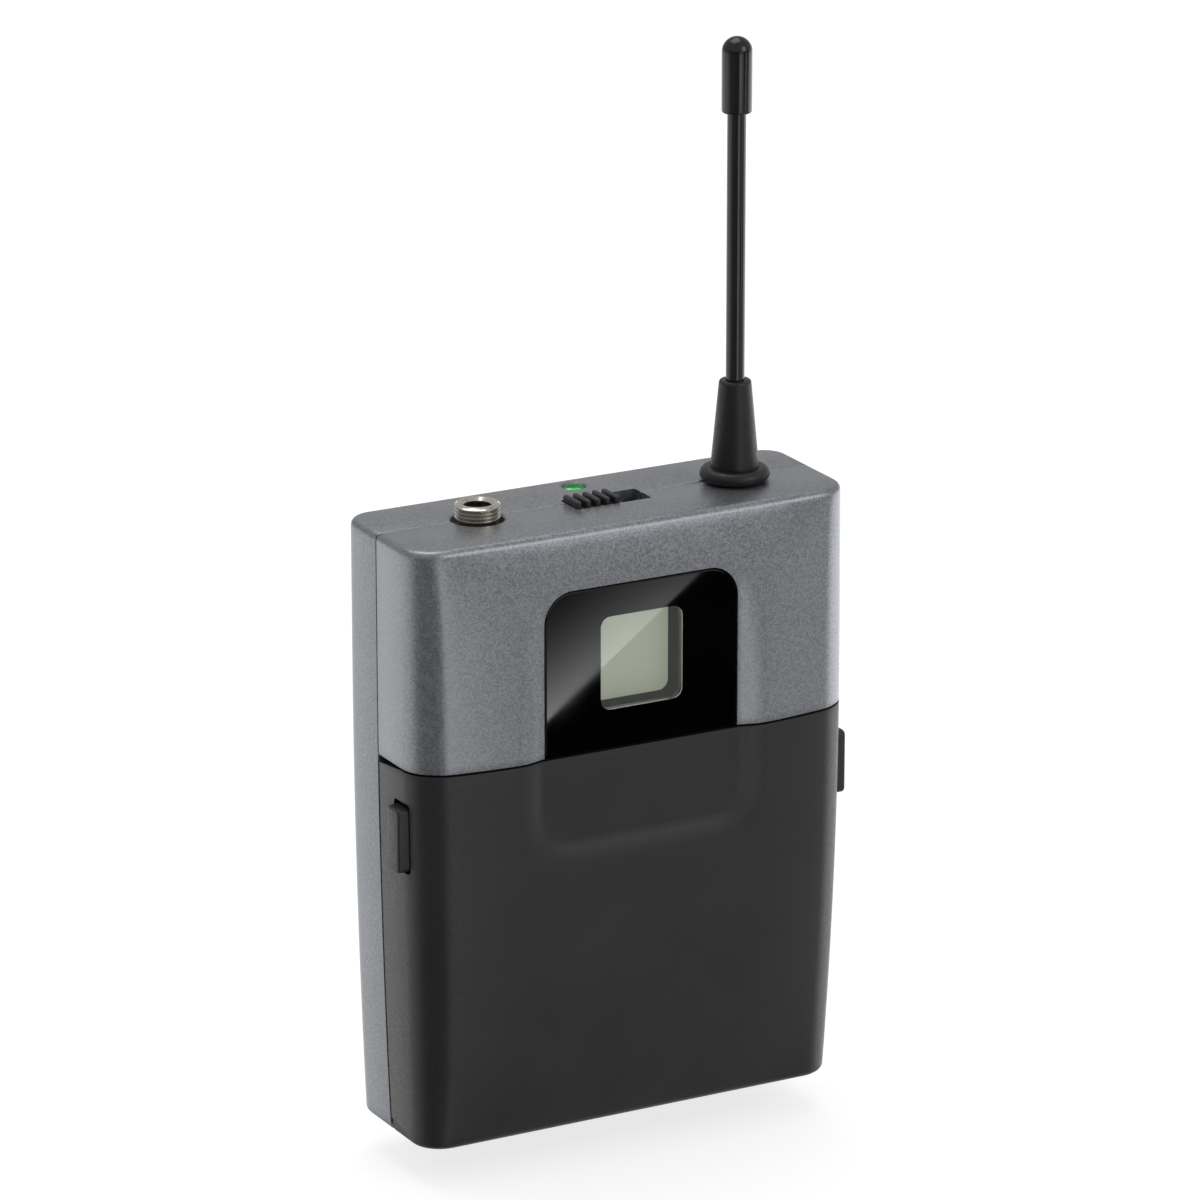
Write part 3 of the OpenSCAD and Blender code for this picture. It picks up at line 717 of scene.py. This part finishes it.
def caseSkin():
    half, height, radius = caseShape["width"] / 2, caseShape["height"], caseShape["edgeRadius"]
    front = caseShape["seam"] - caseShape["edgeDepth"]
    skin = addBox("caseSkin", (-half, front, 0), (half, caseShape["back"], height))
    bevelEdges(skin, lambda e: along(e, 2) and middle(e).y < 0, caseShape["frontRadius"], 10)
    bevelEdges(skin, lambda e: along(e, 2) and middle(e).y > caseShape["back"] - 0.01
               and abs(middle(e).x) > half - 0.01, caseShape["rearRadius"], 8)
    bevelEdges(skin, lambda e: all(v.co.z < 0.01 for v in e.verts)
               or all(v.co.z > height - 0.01 for v in e.verts), radius, 4)
    flat = half - caseShape["frontRadius"]
    cutAcross(skin, 0, steps(-flat, flat, caseShape["gridX"]))
    cutAcross(skin, 2, steps(radius, height - radius, caseShape["gridZ"]))
    cutAcross(skin, 0, [side * x for side in (-1, 1) for x in sunkPanel["columns"]])
    cutAcross(skin, 2, sunkPanel["rows"])
    editAll(skin)
    bpy.ops.mesh.remove_doubles(threshold=caseShape["sliver"])
    bpy.ops.object.mode_set(mode="OBJECT")
    for vertex in skin.data.vertices:
        x, y, z = vertex.co
        x = x * halfWidth(z) / half
        if y < caseShape["seam"]:
            share = (caseShape["seam"] - y) / caseShape["edgeDepth"]
            y = caseShape["seam"] - share * (caseShape["seam"] - faceY(x, z))
            if share > 0.99:
                y = softMax(y, sunkY(x, z), sunkPanel["blend"])
        vertex.co = (x, y, z)
    return skin


def shellOf(skin, name, planes):
    shell = duplicateOf(skin, name)
    for place, normal in planes:
        trim(shell, place, normal)
    useModifier(shell, "SOLIDIFY", thickness=caseShape["wall"], offset=-1, use_even_offset=True)
    breakEdges(shell, caseShape["edgeBreak"], 60)
    return shell


# openings in the top face, cut in both shells

topHoles = {"jack": 3.5, "antenna": 3.6, "led": 1.6, "chamfer": 0.2, "slotCorner": 0.4,
            "below": 4, "above": 2}
slotLow, slotHigh = boxMm("mute_switch")


def holeCutter(centre, radius):
    top = caseShape["height"]
    flare = topHoles["chamfer"]
    low, high = top - topHoles["below"], top + topHoles["above"]
    profile = [(0, low), (radius, low), (radius, top - flare), (radius + flare * 2, top + flare),
               (radius + flare * 2, high), (0, high)]
    return lathe("cutter", profile, (centre.x, centre.y, 0))


def slotCutter():
    low = caseShape["height"] - topHoles["below"]
    high = caseShape["height"] + topHoles["above"]
    cutter = addBox("cutter", (slotLow.x, slotLow.y, low), (slotHigh.x, slotHigh.y, high))
    bevelEdges(cutter, lambda e: along(e, 2), topHoles["slotCorner"], 4)
    return cutter


def openTop(shell):
    carve(shell, holeCutter(jackCentre, topHoles["jack"]))
    carve(shell, holeCutter(antennaCentre, topHoles["antenna"]))
    carve(shell, slotCutter())


skin = caseSkin()
seam = caseShape["seam"]
line = caseShape["shutLine"]

rearBack = {"screwHole": 1.1, "screwSeat": 2.05, "seatDepth": 1.0, "inside": 5, "outside": 12,
            "plateLow": (-15, 12), "plateHigh": (15, 38), "plateDepth": 0.3, "plateCorner": 2,
            "lugX": (9, 13.6), "lugRadius": 2.2, "lugSink": 0.6, "lugBreak": 0.25, "wireHole": 1.1}
clipCentre = Vector((0, 12.4, 66))
screwPlaces = [(-25, 8), (25, 8), (-25, 72), (27, 72)]

rearShell = shellOf(skin, "rearShell", [((0, seam + line, 0), (0, -1, 0))])
openTop(rearShell)
carve(rearShell, holeCutter(ledCentre, topHoles["led"]))
seatY = caseShape["back"] - rearBack["seatDepth"]
for x, z in screwPlaces:
    out = (x, rearBack["outside"], z)
    carve(rearShell, addRod("cutter", (x, rearBack["inside"], z), out, rearBack["screwHole"]))
    carve(rearShell, addRod("cutter", (x, seatY, z), out, rearBack["screwSeat"]))
plateLow = (rearBack["plateLow"][0], caseShape["back"] - rearBack["plateDepth"], rearBack["plateLow"][1])
plateHigh = (rearBack["plateHigh"][0], caseShape["back"] + 2, rearBack["plateHigh"][1])
plate = addBox("cutter", plateLow, plateHigh)
bevelEdges(plate, lambda e: along(e, 1), rearBack["plateCorner"], 6)
carve(rearShell, plate)
for side in (-1, 1):
    near, far = sorted(side * x for x in rearBack["lugX"])
    radius = rearBack["lugRadius"]
    lug = addBox("lug", (near, caseShape["back"] - rearBack["lugSink"], clipCentre.z - radius),
                 (far, clipCentre.y + radius, clipCentre.z + radius))
    bevelEdges(lug, lambda e: along(e, 0) and middle(e).y > clipCentre.y, radius - 0.01, 10)
    breakEdges(lug, rearBack["lugBreak"], 60)
    carve(lug, addRod("cutter", (near - 1, clipCentre.y, clipCentre.z),
                      (far + 1, clipCentre.y, clipCentre.z), rearBack["wireHole"]))
    carve(rearShell, lug, "UNION")
finishPiece(rearShell, "case", ["rear_shell"], finish["lacquer"])

windowOpening = {"ease": 0.15, "corner": 4.15}


def windowCutter():
    ease = windowOpening["ease"]
    cutter = addBox("cutter", (paneLow.x - ease, -30, paneLow.z - 10),
                    (paneHigh.x + ease, seam - 5, paneHigh.z + ease))
    bevelEdges(cutter, lambda e: along(e, 1) and middle(e).z > paneHigh.z, windowOpening["corner"], 12)
    return cutter


frontShell = shellOf(skin, "frontShell", [((0, seam - line, 0), (0, 1, 0)),
                                          ((0, 0, frontLow.z), (0, 0, -1))])
openTop(frontShell)
carve(frontShell, windowCutter())
finishPiece(frontShell, "case", ["front_shell"], finish["lacquer"])

coverCuts = {"sideSlope": -6.5, "sideDrop": 0.7, "floorHalf": 28.6, "floorAhead": 0.9,
             "floorTop": 4, "hingeRoom": 1.8, "hingeHalf": 25.8, "rearRelief": 0.4}
bossLook = {"x": (26.1, 29.3), "bore": 0.78, "radius": 1.5, "rim": 1.3, "break": 0.2}
springSeat = {"x": (25.8, 26.6), "y": (-11.2, -4.6), "z": (39.9, 45.9), "break": 0.2}
thumbBar = {"rear": -6.1, "low": 38.55, "high": 47.25}
hinge = Vector((0, (pinLow.y + pinHigh.y) / 2, (pinLow.z + pinHigh.z) / 2))
coverRear = coverHigh.y
slope = math.radians(coverCuts["sideSlope"])
batteryCover = shellOf(skin, "batteryCover", [
    ((0, coverRear, 0), (0, 1, 0)),
    ((0, coverRear, coverHigh.z - coverCuts["sideDrop"]), (0, -math.sin(slope), math.cos(slope))),
    ((0, 0, coverHigh.z), (0, 0, 1))])
carve(batteryCover, addBox("cutter", (-coverCuts["floorHalf"], hinge.y - coverCuts["floorAhead"], -1),
                           (coverCuts["floorHalf"], seam, coverCuts["floorTop"])), crossesItself=True)
carve(batteryCover, addRod("cutter", (-coverCuts["hingeHalf"], hinge.y, hinge.z),
                           (coverCuts["hingeHalf"], hinge.y, hinge.z), coverCuts["hingeRoom"]))
carve(batteryCover, addBox("cutter", (-40, coverRear - coverCuts["rearRelief"], -1), (40, seam, hinge.z)))
catchRoom = {"ahead": 0.3, "behind": 0.3, "below": 0.3, "above": 0.6, "corner": 0.6}
parts = [batteryCover]
for side in (-1, 1):
    near, far = sorted((side * 28, side * 40))
    opening = addBox("cutter",
                     (near, catchLow.y - catchRoom["ahead"], thumbBar["low"] - catchRoom["below"]),
                     (far, thumbBar["rear"] + catchRoom["behind"], thumbBar["high"] + catchRoom["above"]))
    bevelEdges(opening, lambda e: along(e, 0), catchRoom["corner"], 3)
    carve(batteryCover, opening)
    near, far = sorted(side * x for x in bossLook["x"])
    bore, rim, radius = bossLook["bore"], bossLook["rim"], bossLook["radius"]
    boss = lathe("boss", [(bore, near), (rim, near), (radius, near + bossLook["break"]),
                          (radius, far - bossLook["break"]), (rim, far), (bore, far), (bore, near)],
                 (0, hinge.y, hinge.z), 0, 32)
    near, far = sorted(side * x for x in springSeat["x"])
    seat = addBox("seat", (near, seam + springSeat["y"][0], springSeat["z"][0]),
                  (far, seam + springSeat["y"][1], springSeat["z"][1]))
    breakEdges(seat, springSeat["break"])
    parts += [boss, seat]
batteryCover = joined("batteryCover", parts)
finishPiece(batteryCover, "cover", ["battery_cover"], finish["cover"])
bpy.data.objects.remove(skin)


# catches with rounded thumb bars

catchLook = {"round": 0.7, "faceRound": 0.35, "flangeBreak": 0.2, "flangeThick": 0.9}


def catchPiece():
    thumb = addBox("catch", (catchLow.x, catchLow.y, thumbBar["low"]),
                   (catchHigh.x, thumbBar["rear"], thumbBar["high"]))
    bevelEdges(thumb, lambda e: along(e, 0), catchLook["round"], 4)
    bevelEdges(thumb, lambda e: all(v.co.x > catchHigh.x - 0.01 for v in e.verts),
               catchLook["faceRound"], 3)
    flange = addBox("flange", (catchLow.x, catchLow.y, catchLow.z),
                    (catchLow.x + catchLook["flangeThick"], catchHigh.y, catchHigh.z))
    breakEdges(flange, catchLook["flangeBreak"])
    carve(thumb, flange, "UNION")
    return thumb


rightCatch = catchPiece()
leftCatch = mirrored(rightCatch, "leftCatch")
rightCatch.name = "rightCatch"
finishPiece(rightCatch, "right_catch", ["catch_right"], finish["cover"])
finishPiece(leftCatch, "left_catch", ["catch_left"], finish["cover"])


# window pane: black acrylic with a chamfered rim and a clear field in front of the display

paneLook = {"corner": 4.0, "lowCorner": 0.3, "chamfer": 0.22, "fieldHalf": 6.0, "fieldLow": 57.6,
            "fieldHigh": 70.2, "fieldCorner": 1.4, "clear": 0.35}


def fieldCutter(grow, lowY, highY):
    cutter = addBox("field", (-paneLook["fieldHalf"] - grow, lowY, paneLook["fieldLow"] - grow),
                    (paneLook["fieldHalf"] + grow, highY, paneLook["fieldHigh"] + grow))
    bevelEdges(cutter, lambda e: along(e, 1), paneLook["fieldCorner"] + grow, 8)
    return cutter


windowPane = addBox("windowPane", paneLow, paneHigh)
bevelEdges(windowPane, lambda e: along(e, 1) and middle(e).z > paneHigh.z - 0.01, paneLook["corner"], 12)
bevelEdges(windowPane, lambda e: along(e, 1) and middle(e).z < paneLow.z + 0.01, paneLook["lowCorner"], 3)
bevelEdges(windowPane, lambda e: all(v.co.y < paneLow.y + 0.01 for v in e.verts), paneLook["chamfer"], 1)
carve(windowPane, fieldCutter(0.0, paneLow.y - 1, paneHigh.y + 1))
finishPiece(windowPane, "case", ["window_pane"], finish["pane"])
clearField = fieldCutter(-0.01, paneLow.y, paneLow.y + paneLook["clear"])
clearField.name = "clearField"
finishPiece(clearField, "case", ["window_pane"], finish["clear"])


# liquid crystal: glass slab with a thin pale frame round its field

crystalLow, crystalHigh = boxMm("lcd_panel")
crystalLook = {"border": 2.15, "frame": 0.22, "step": 0.12, "break": 0.08}
crystal = addBox("liquidCrystal", crystalLow, crystalHigh)
editAll(crystal)
pick("faces", lambda f: f.normal.y < -0.9)
bpy.ops.mesh.inset(thickness=crystalLook["border"], depth=0)
bpy.ops.mesh.inset(thickness=crystalLook["frame"], depth=-crystalLook["step"])
bpy.ops.object.mode_set(mode="OBJECT")
breakEdges(crystal, crystalLook["break"])
finishPiece(crystal, "case", ["lcd_panel"], finish["crystal"])


# microphone socket: threaded bush, M6 with a pitch of 0.5 mm

bushLow, bushHigh = boxMm("jack_bush")
bushLook = {"flange": 3.9, "flangeThick": 1, "shank": 2.4, "shankTop": 82.05, "crest": 3.0,
            "root": 2.7, "pitch": 0.5, "threadFoot": 82.08, "crestFrom": 0.18, "crestTo": 0.32,
            "ridges": 4, "bore": 1.8, "mouth": 2.25, "chamfer": 0.1, "mouthDepth": 0.4}


def bushProfile():
    low, top = bushLow.z, bushHigh.z
    bore, flange, shank = bushLook["bore"], bushLook["flange"], bushLook["shank"]
    root, crest, chamfer = bushLook["root"], bushLook["crest"], bushLook["chamfer"]
    flangeTop = low + bushLook["flangeThick"]
    profile = [(bore, low), (flange, low), (flange, flangeTop), (shank, flangeTop),
               (shank, bushLook["shankTop"])]
    for i in range(bushLook["ridges"]):
        z = bushLook["threadFoot"] + bushLook["pitch"] * i
        profile += [(root, z), (crest, z + bushLook["crestFrom"]), (crest, z + bushLook["crestTo"])]
    return profile + [(root, top - chamfer), (root - chamfer, top), (bushLook["mouth"], top),
                      (bore, top - bushLook["mouthDepth"]), (bore, low)]


jackBush = lathe("jackBush", bushProfile(), (jackCentre.x, jackCentre.y, 0), 2, 64)
finishPiece(jackBush, "case", ["jack_bush"], finish["nickel"], 25)


# mute slider with five rounded ribs

sliderLow, sliderHigh = boxMm("mute_slider")
sliderLook = {"ribs": 5, "pitch": 1.4, "ribWidth": 0.8, "ribSink": 0.2, "ribCorner": 0.3,
              "ribRound": 0.28, "topGap": 0.2, "thick": 3.2, "corner": 0.35, "break": 0.12,
              "leverInset": 2.4, "leverY": (-2.8, -1.6), "leverTop": 3.1}
sliderTop = caseShape["height"] - sliderLook["topGap"]
sliderBase = addBox("sliderBase", (sliderLow.x, sliderLow.y, sliderTop - sliderLook["thick"]),
                    (sliderHigh.x, sliderHigh.y, sliderTop))
bevelEdges(sliderBase, lambda e: along(e, 2), sliderLook["corner"], 3)
breakEdges(sliderBase, sliderLook["break"])
rib = addBox("rib", (sliderLow.x, sliderLow.y, sliderTop - sliderLook["ribSink"]),
             (sliderLow.x + sliderLook["ribWidth"], sliderHigh.y, sliderHigh.z))
bevelEdges(rib, lambda e: along(e, 2), sliderLook["ribCorner"], 3)
bevelEdges(rib, lambda e: all(v.co.z > sliderHigh.z - 0.01 for v in e.verts), sliderLook["ribRound"], 3)
leverNear, leverFar = sliderLook["leverY"]
lever = addBox("lever", (sliderLow.x + sliderLook["leverInset"], leverNear, sliderLow.z),
               (sliderHigh.x - sliderLook["leverInset"], leverFar, sliderTop - sliderLook["leverTop"]))
ribs = [rib] + [duplicateOf(rib, "rib", (sliderLook["pitch"] * i, 0, 0))
                for i in range(1, sliderLook["ribs"])]
muteSlider = joined("muteSlider", [sliderBase, lever] + ribs)
finishPiece(muteSlider, "mute_knob", ["mute_slider"], finish["cover"])


# indicator lens

ledLow, ledHigh = boxMm("led_lens")
lensLook = {"flange": 1.65, "flangeThick": 0.8, "radius": 1.5, "step": 0.9, "round": 0.5, "flat": 0.6}
lensProfile = ([(0, ledLow.z), (lensLook["flange"], ledLow.z),
                (lensLook["flange"], ledLow.z + lensLook["flangeThick"]),
                (lensLook["radius"], ledLow.z + lensLook["step"])]
               + roundEnd(lensLook["round"], (lensLook["radius"] - lensLook["round"],
                                              ledHigh.z - lensLook["round"]), 0, 70)
               + [(lensLook["flat"], ledHigh.z), (0, ledHigh.z)])
ledLens = lathe("ledLens", lensProfile, (ledCentre.x, ledCentre.y, 0), 2, 40)
finishPiece(ledLens, "case", ["led_lens"], finish["lens"], 40)


# antenna: beaded collar, tapered boot, whip and domed tip

collarLow, collarHigh = boxMm("antenna_collar")
bootLow, bootHigh = boxMm("antenna_boot")
whipLow, whipHigh = boxMm("antenna_whip")
tipLow, tipHigh = boxMm("antenna_tip")
antennaLook = {"bead": 0.95, "beadAt": 3.65, "beadGap": 0.05, "beadDrop": 0.9, "neck": 3.5,
               "rootRadius": 3.15, "rootHigh": 0.35, "neckRadius": 2.1, "plug": 2.0, "round": 0.35,
               "bore": 2.02, "whip": 1.24, "tip": 2.0, "tipRound": 0.3}
antennaAxis = (antennaCentre.x, antennaCentre.y, 0)
beadMiddle = (antennaLook["beadAt"], (caseShape["height"] + antennaLook["beadGap"] + collarHigh.z) / 2)
collarProfile = ([(antennaLook["bore"], collarLow.z), (antennaLook["neck"], collarLow.z),
                  (antennaLook["neck"], beadMiddle[1] - antennaLook["beadDrop"])]
                 + roundEnd(antennaLook["bead"], beadMiddle, -75, 90, 10)
                 + [(antennaLook["bore"], collarHigh.z), (antennaLook["bore"], collarLow.z)])
collar = lathe("antennaCollar", collarProfile, antennaAxis, 2, 56)
finishPiece(collar, "case", ["antenna_collar"], finish["satin"], 40)
bootFoot = collarHigh.z
bootProfile = ([(0, bootLow.z), (antennaLook["plug"], bootLow.z), (antennaLook["plug"], bootFoot),
                (antennaLook["rootRadius"], bootFoot),
                (antennaLook["rootRadius"], bootFoot + antennaLook["rootHigh"]),
                (antennaLook["neckRadius"] + 0.05, bootHigh.z - 0.5)]
               + roundEnd(antennaLook["round"], (antennaLook["neckRadius"] - 0.33,
                                                 bootHigh.z - antennaLook["round"]), 5, 90, 4)
               + [(0, bootHigh.z)])
boot = lathe("antennaBoot", bootProfile, antennaAxis, 2, 56)
finishPiece(boot, "case", ["antenna_boot"], finish["satin"], 40)
whip = lathe("antennaWhip", [(0, whipLow.z), (antennaLook["whip"], whipLow.z),
                             (antennaLook["whip"], whipHigh.z), (0, whipHigh.z)], antennaAxis, 2, 40)
finishPiece(whip, "case", ["antenna_whip"], finish["gloss"], 40)
tipRadius, tipRound = antennaLook["tip"], antennaLook["tipRound"]
tipProfile = ([(0, tipLow.z)] + roundEnd(tipRound, (tipRadius - tipRound, tipLow.z + tipRound), -90, 0, 4)
              + roundEnd(tipRadius, (0, tipHigh.z - tipRadius), 0, 90, 10))
tip = lathe("antennaTip", tipProfile, antennaAxis, 2, 40)
finishPiece(tip, "case", ["antenna_tip"], finish["gloss"], 40)


# cells: steel cans in a shrink sleeve that curls over the flat end

cellLook = {"radius": 7.15, "curl": 0.5, "nubRadius": 2.6, "nubLength": 1.2}


def cellPiece(name, node, way, sleeve):
    low, high = boxMm(node)
    centre = (low + high) / 2
    half = (high.x - low.x) / 2
    shoulder = half - cellLook["nubLength"]
    radius, curl, nub = cellLook["radius"], cellLook["curl"], cellLook["nubRadius"]
    profile = ([(0, -half), (radius - 1.6, -half), (radius - 1.5, -half + 0.15),
                (radius - 1.1, -half + 0.15), (radius - curl, -half)]
               + roundEnd(curl, (radius - curl, -half + curl), -90, 0, 4)
               + roundEnd(curl, (radius - curl, shoulder - curl), 0, 90, 4)
               + [(radius - 1.1, shoulder - 0.2), (nub + 0.3, shoulder - 0.2), (nub, shoulder)]
               + roundEnd(0.4, (nub - 0.4, half - 0.4), 0, 90, 4) + [(0, half)])
    cell = lathe(name, [(r, t * way) for r, t in profile], centre, 0, 56)
    finishPiece(cell, "case", [node], finish[sleeve], 40)
    cell.data.materials.append(finish["tin"])
    for face in cell.data.polygons:
        reach = math.hypot(face.center.y / mm - centre.y, face.center.z / mm - centre.z)
        face.material_index = 1 if reach < cellLook["radius"] - 1.05 else 0


cellPiece("lowerCell", "cell_lower", 1, "sleeve")
cellPiece("upperCell", "cell_upper", -1, "sleeveTurned")


# coil springs, wound by sweeping a small ring

def coil(name, start, length, radius, wire, turns):
    freshStart()
    bpy.ops.mesh.primitive_circle_add(vertices=10, radius=wire, fill_type="NGON",
                                      location=(0, radius, 0))
    piece = bpy.context.object
    piece.name = name
    bpy.ops.object.transform_apply(location=True, rotation=True, scale=True)
    useModifier(piece, "SCREW", axis="X", angle=math.tau, screw_offset=length / turns, iterations=turns,
                steps=24, render_steps=24, use_merge_vertices=True)
    editAll(piece)
    bpy.ops.mesh.fill_holes(sides=0)
    bpy.ops.mesh.select_all(action="SELECT")
    bpy.ops.mesh.normals_make_consistent(inside=False)
    bpy.ops.object.mode_set(mode="OBJECT")
    piece.location = start
    only(piece)
    bpy.ops.object.transform_apply(location=True, rotation=True, scale=True)
    return piece


contactLow, contactHigh = boxMm("contact_springs")
lowerCell = centreMm("cell_lower")
upperCell = centreMm("cell_upper")
cellHalf = (boxMm("cell_lower")[1].x - boxMm("cell_lower")[0].x) / 2
springLook = {"radius": 3.1, "wire": 0.27, "turns": 2, "catchRadius": 1.4, "catchWire": 0.18,
              "catchTurns": 3}
springRun = contactHigh.x - cellHalf - 2 * springLook["wire"]
springs = [coil("spring", (contactLow.x + springLook["wire"], lowerCell.y, lowerCell.z), springRun,
                springLook["radius"], springLook["wire"], springLook["turns"]),
           coil("spring", (cellHalf + springLook["wire"], upperCell.y, upperCell.z), springRun,
                springLook["radius"], springLook["wire"], springLook["turns"])]
finishPiece(joined("contactSprings", springs), "case", ["contact_springs"], finish["nickel"])

for side, hand in ((-1, "left"), (1, "right")):
    low, high = boxMm("catch_spring_" + hand)
    wire = springLook["catchWire"]
    spring = coil(hand + "CatchSpring", (low.x + wire, (low.y + high.y) / 2, (low.z + high.z) / 2),
                  high.x - low.x - 2 * wire, springLook["catchRadius"], wire, springLook["catchTurns"])
    finishPiece(spring, "cover", ["catch_spring_" + hand], finish["nickel"])
    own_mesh(spring)


# keys: softly crowned caps on a retaining flange

keyLook = {"corner": 1.2, "round": 0.5, "flangeThick": 0.7, "flangeStep": 0.8, "flangeBreak": 0.15}


def keyPiece(name, node, body, material):
    low, high = boxMm(node)
    step = keyLook["flangeStep"]
    cap = addBox("cap", (low.x + step, low.y, low.z + step),
                 (high.x - step, high.y - keyLook["flangeThick"] / 2, high.z - step))
    bevelEdges(cap, lambda e: along(e, 1), keyLook["corner"], 5)
    bevelEdges(cap, lambda e: all(v.co.y < low.y + 0.01 for v in e.verts), keyLook["round"], 4)
    flange = addBox("flange", (low.x, high.y - keyLook["flangeThick"], low.z), high)
    breakEdges(flange, keyLook["flangeBreak"])
    finishPiece(joined(name, [cap, flange]), body, [node], material)


keyPiece("powerKey", "power_button", "power_key", finish["redKey"])
keyPiece("setKey", "set_button", "set_key", finish["greyKey"])

rockerLow, rockerHigh = boxMm("select_rocker")
rockerLook = {"half": 3.5, "halfHeight": 6.0, "corner": 1.2, "round": 0.45, "groove": 0.5,
              "grooveOut": 0.3, "arrow": 1.1, "arrowRise": 3.1, "arrowProud": 0.18,
              "axle": 0.7, "axleY": -8.6, "axleProud": 0.5}
rockerCentre = (rockerLow + rockerHigh) / 2
rocker = addBox("rocker", (-rockerLook["half"], rockerLow.y, rockerCentre.z - rockerLook["halfHeight"]),
                (rockerLook["half"], rockerHigh.y - rockerLook["axleProud"],
                 rockerCentre.z + rockerLook["halfHeight"]))
bevelEdges(rocker, lambda e: along(e, 1), rockerLook["corner"], 5)
bevelEdges(rocker, lambda e: all(v.co.y < rockerLow.y + 0.01 for v in e.verts), rockerLook["round"], 4)
grooveY = rockerLow.y - rockerLook["grooveOut"]
carve(rocker, addRod("cutter", (-5, grooveY, rockerCentre.z), (5, grooveY, rockerCentre.z),
                     rockerLook["groove"] + rockerLook["grooveOut"]))
axle = addRod("axle", (rockerLow.x, rockerLook["axleY"], rockerCentre.z),
              (rockerHigh.x, rockerLook["axleY"], rockerCentre.z), rockerLook["axle"])
arrows = []
for way in (-1, 1):
    height = way * rockerCentre.z + rockerLook["arrowRise"]
    arrow = addRod("arrow", (0, rockerLow.y - rockerLook["arrowProud"], height),
                   (0, rockerLow.y + 0.3, height), rockerLook["arrow"], 3)
    arrow.scale.z = way       # the lower arrow points down
    bpy.ops.object.transform_apply(location=True, rotation=True, scale=True)
    editAll(arrow)
    bpy.ops.mesh.normals_make_consistent(inside=False)
    bpy.ops.object.mode_set(mode="OBJECT")
    arrows.append(arrow)
rocker = joined("selectRocker", [rocker, axle] + arrows)
finishPiece(rocker, "select_key", ["select_rocker"], finish["greyKey"])
rocker.data.materials.append(finish["epoxy"])
for face in rocker.data.polygons:
    face.material_index = 1 if face.center.y / mm < rockerLow.y - 0.02 else 0


# case screws: pan heads with a cross recess

screwLook = {"head": 1.9, "headThick": 0.8, "shank": 0.95, "cross": 0.42, "crossLong": 2.2,
             "crossDepth": 0.5, "shortTip": 4.4, "longTip": -6.5}


def screwPiece(x, z, tipY):
    top = seatY + screwLook["headThick"]
    profile = ([(0, tipY), (0.3, tipY + 0.1), (screwLook["shank"], tipY + 1.0),
                (screwLook["shank"], seatY), (screwLook["head"], seatY)]
               + roundEnd(0.45, (screwLook["head"] - 0.45, top - 0.45), 0, 80, 4) + [(0, top)])
    screw = lathe("screw", profile, (x, 0, z), 1, 32)
    halves = (screwLook["crossLong"] / 2, screwLook["cross"] / 2)
    for wide, high in (halves, halves[::-1]):
        carve(screw, addBox("cutter", (x - wide, top - screwLook["crossDepth"], z - high),
                            (x + wide, top + 1, z + high)))
    return screw


lowerScrews = [screwPiece(x, z, screwLook["shortTip"]) for x, z in screwPlaces[:2]]
upperScrews = [screwPiece(x, z, screwLook["longTip"]) for x, z in screwPlaces[2:]]
caseScrews = joined("caseScrews", lowerScrews + upperScrews)
finishPiece(caseScrews, "case", ["case_screws"], finish["zinc"])


# the frame's own nodes that stay take their finishes here

nodeFinish = {
    "battery_tray": "inner", "rocker_bearings": "inner", "display_mask": "mask", "jack_body": "inner",
    "mute_switch": "inner", "key_switches": "inner", "board_chips": "epoxy", "jack_nut": "nickel",
    "contact_plates": "nickel", "rf_shield": "tin", "hinge_pins": "steel", "belt_clip": "wire",
    "key_board": "board", "display_board": "board", "main_board": "board", "led_chip": "package",
    "antenna_foot": "brass",
}
for node, name in nodeFinish.items():
    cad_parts[node].data.materials.clear()
    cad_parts[node].data.materials.append(finish[name])
print("frame nodes painted")
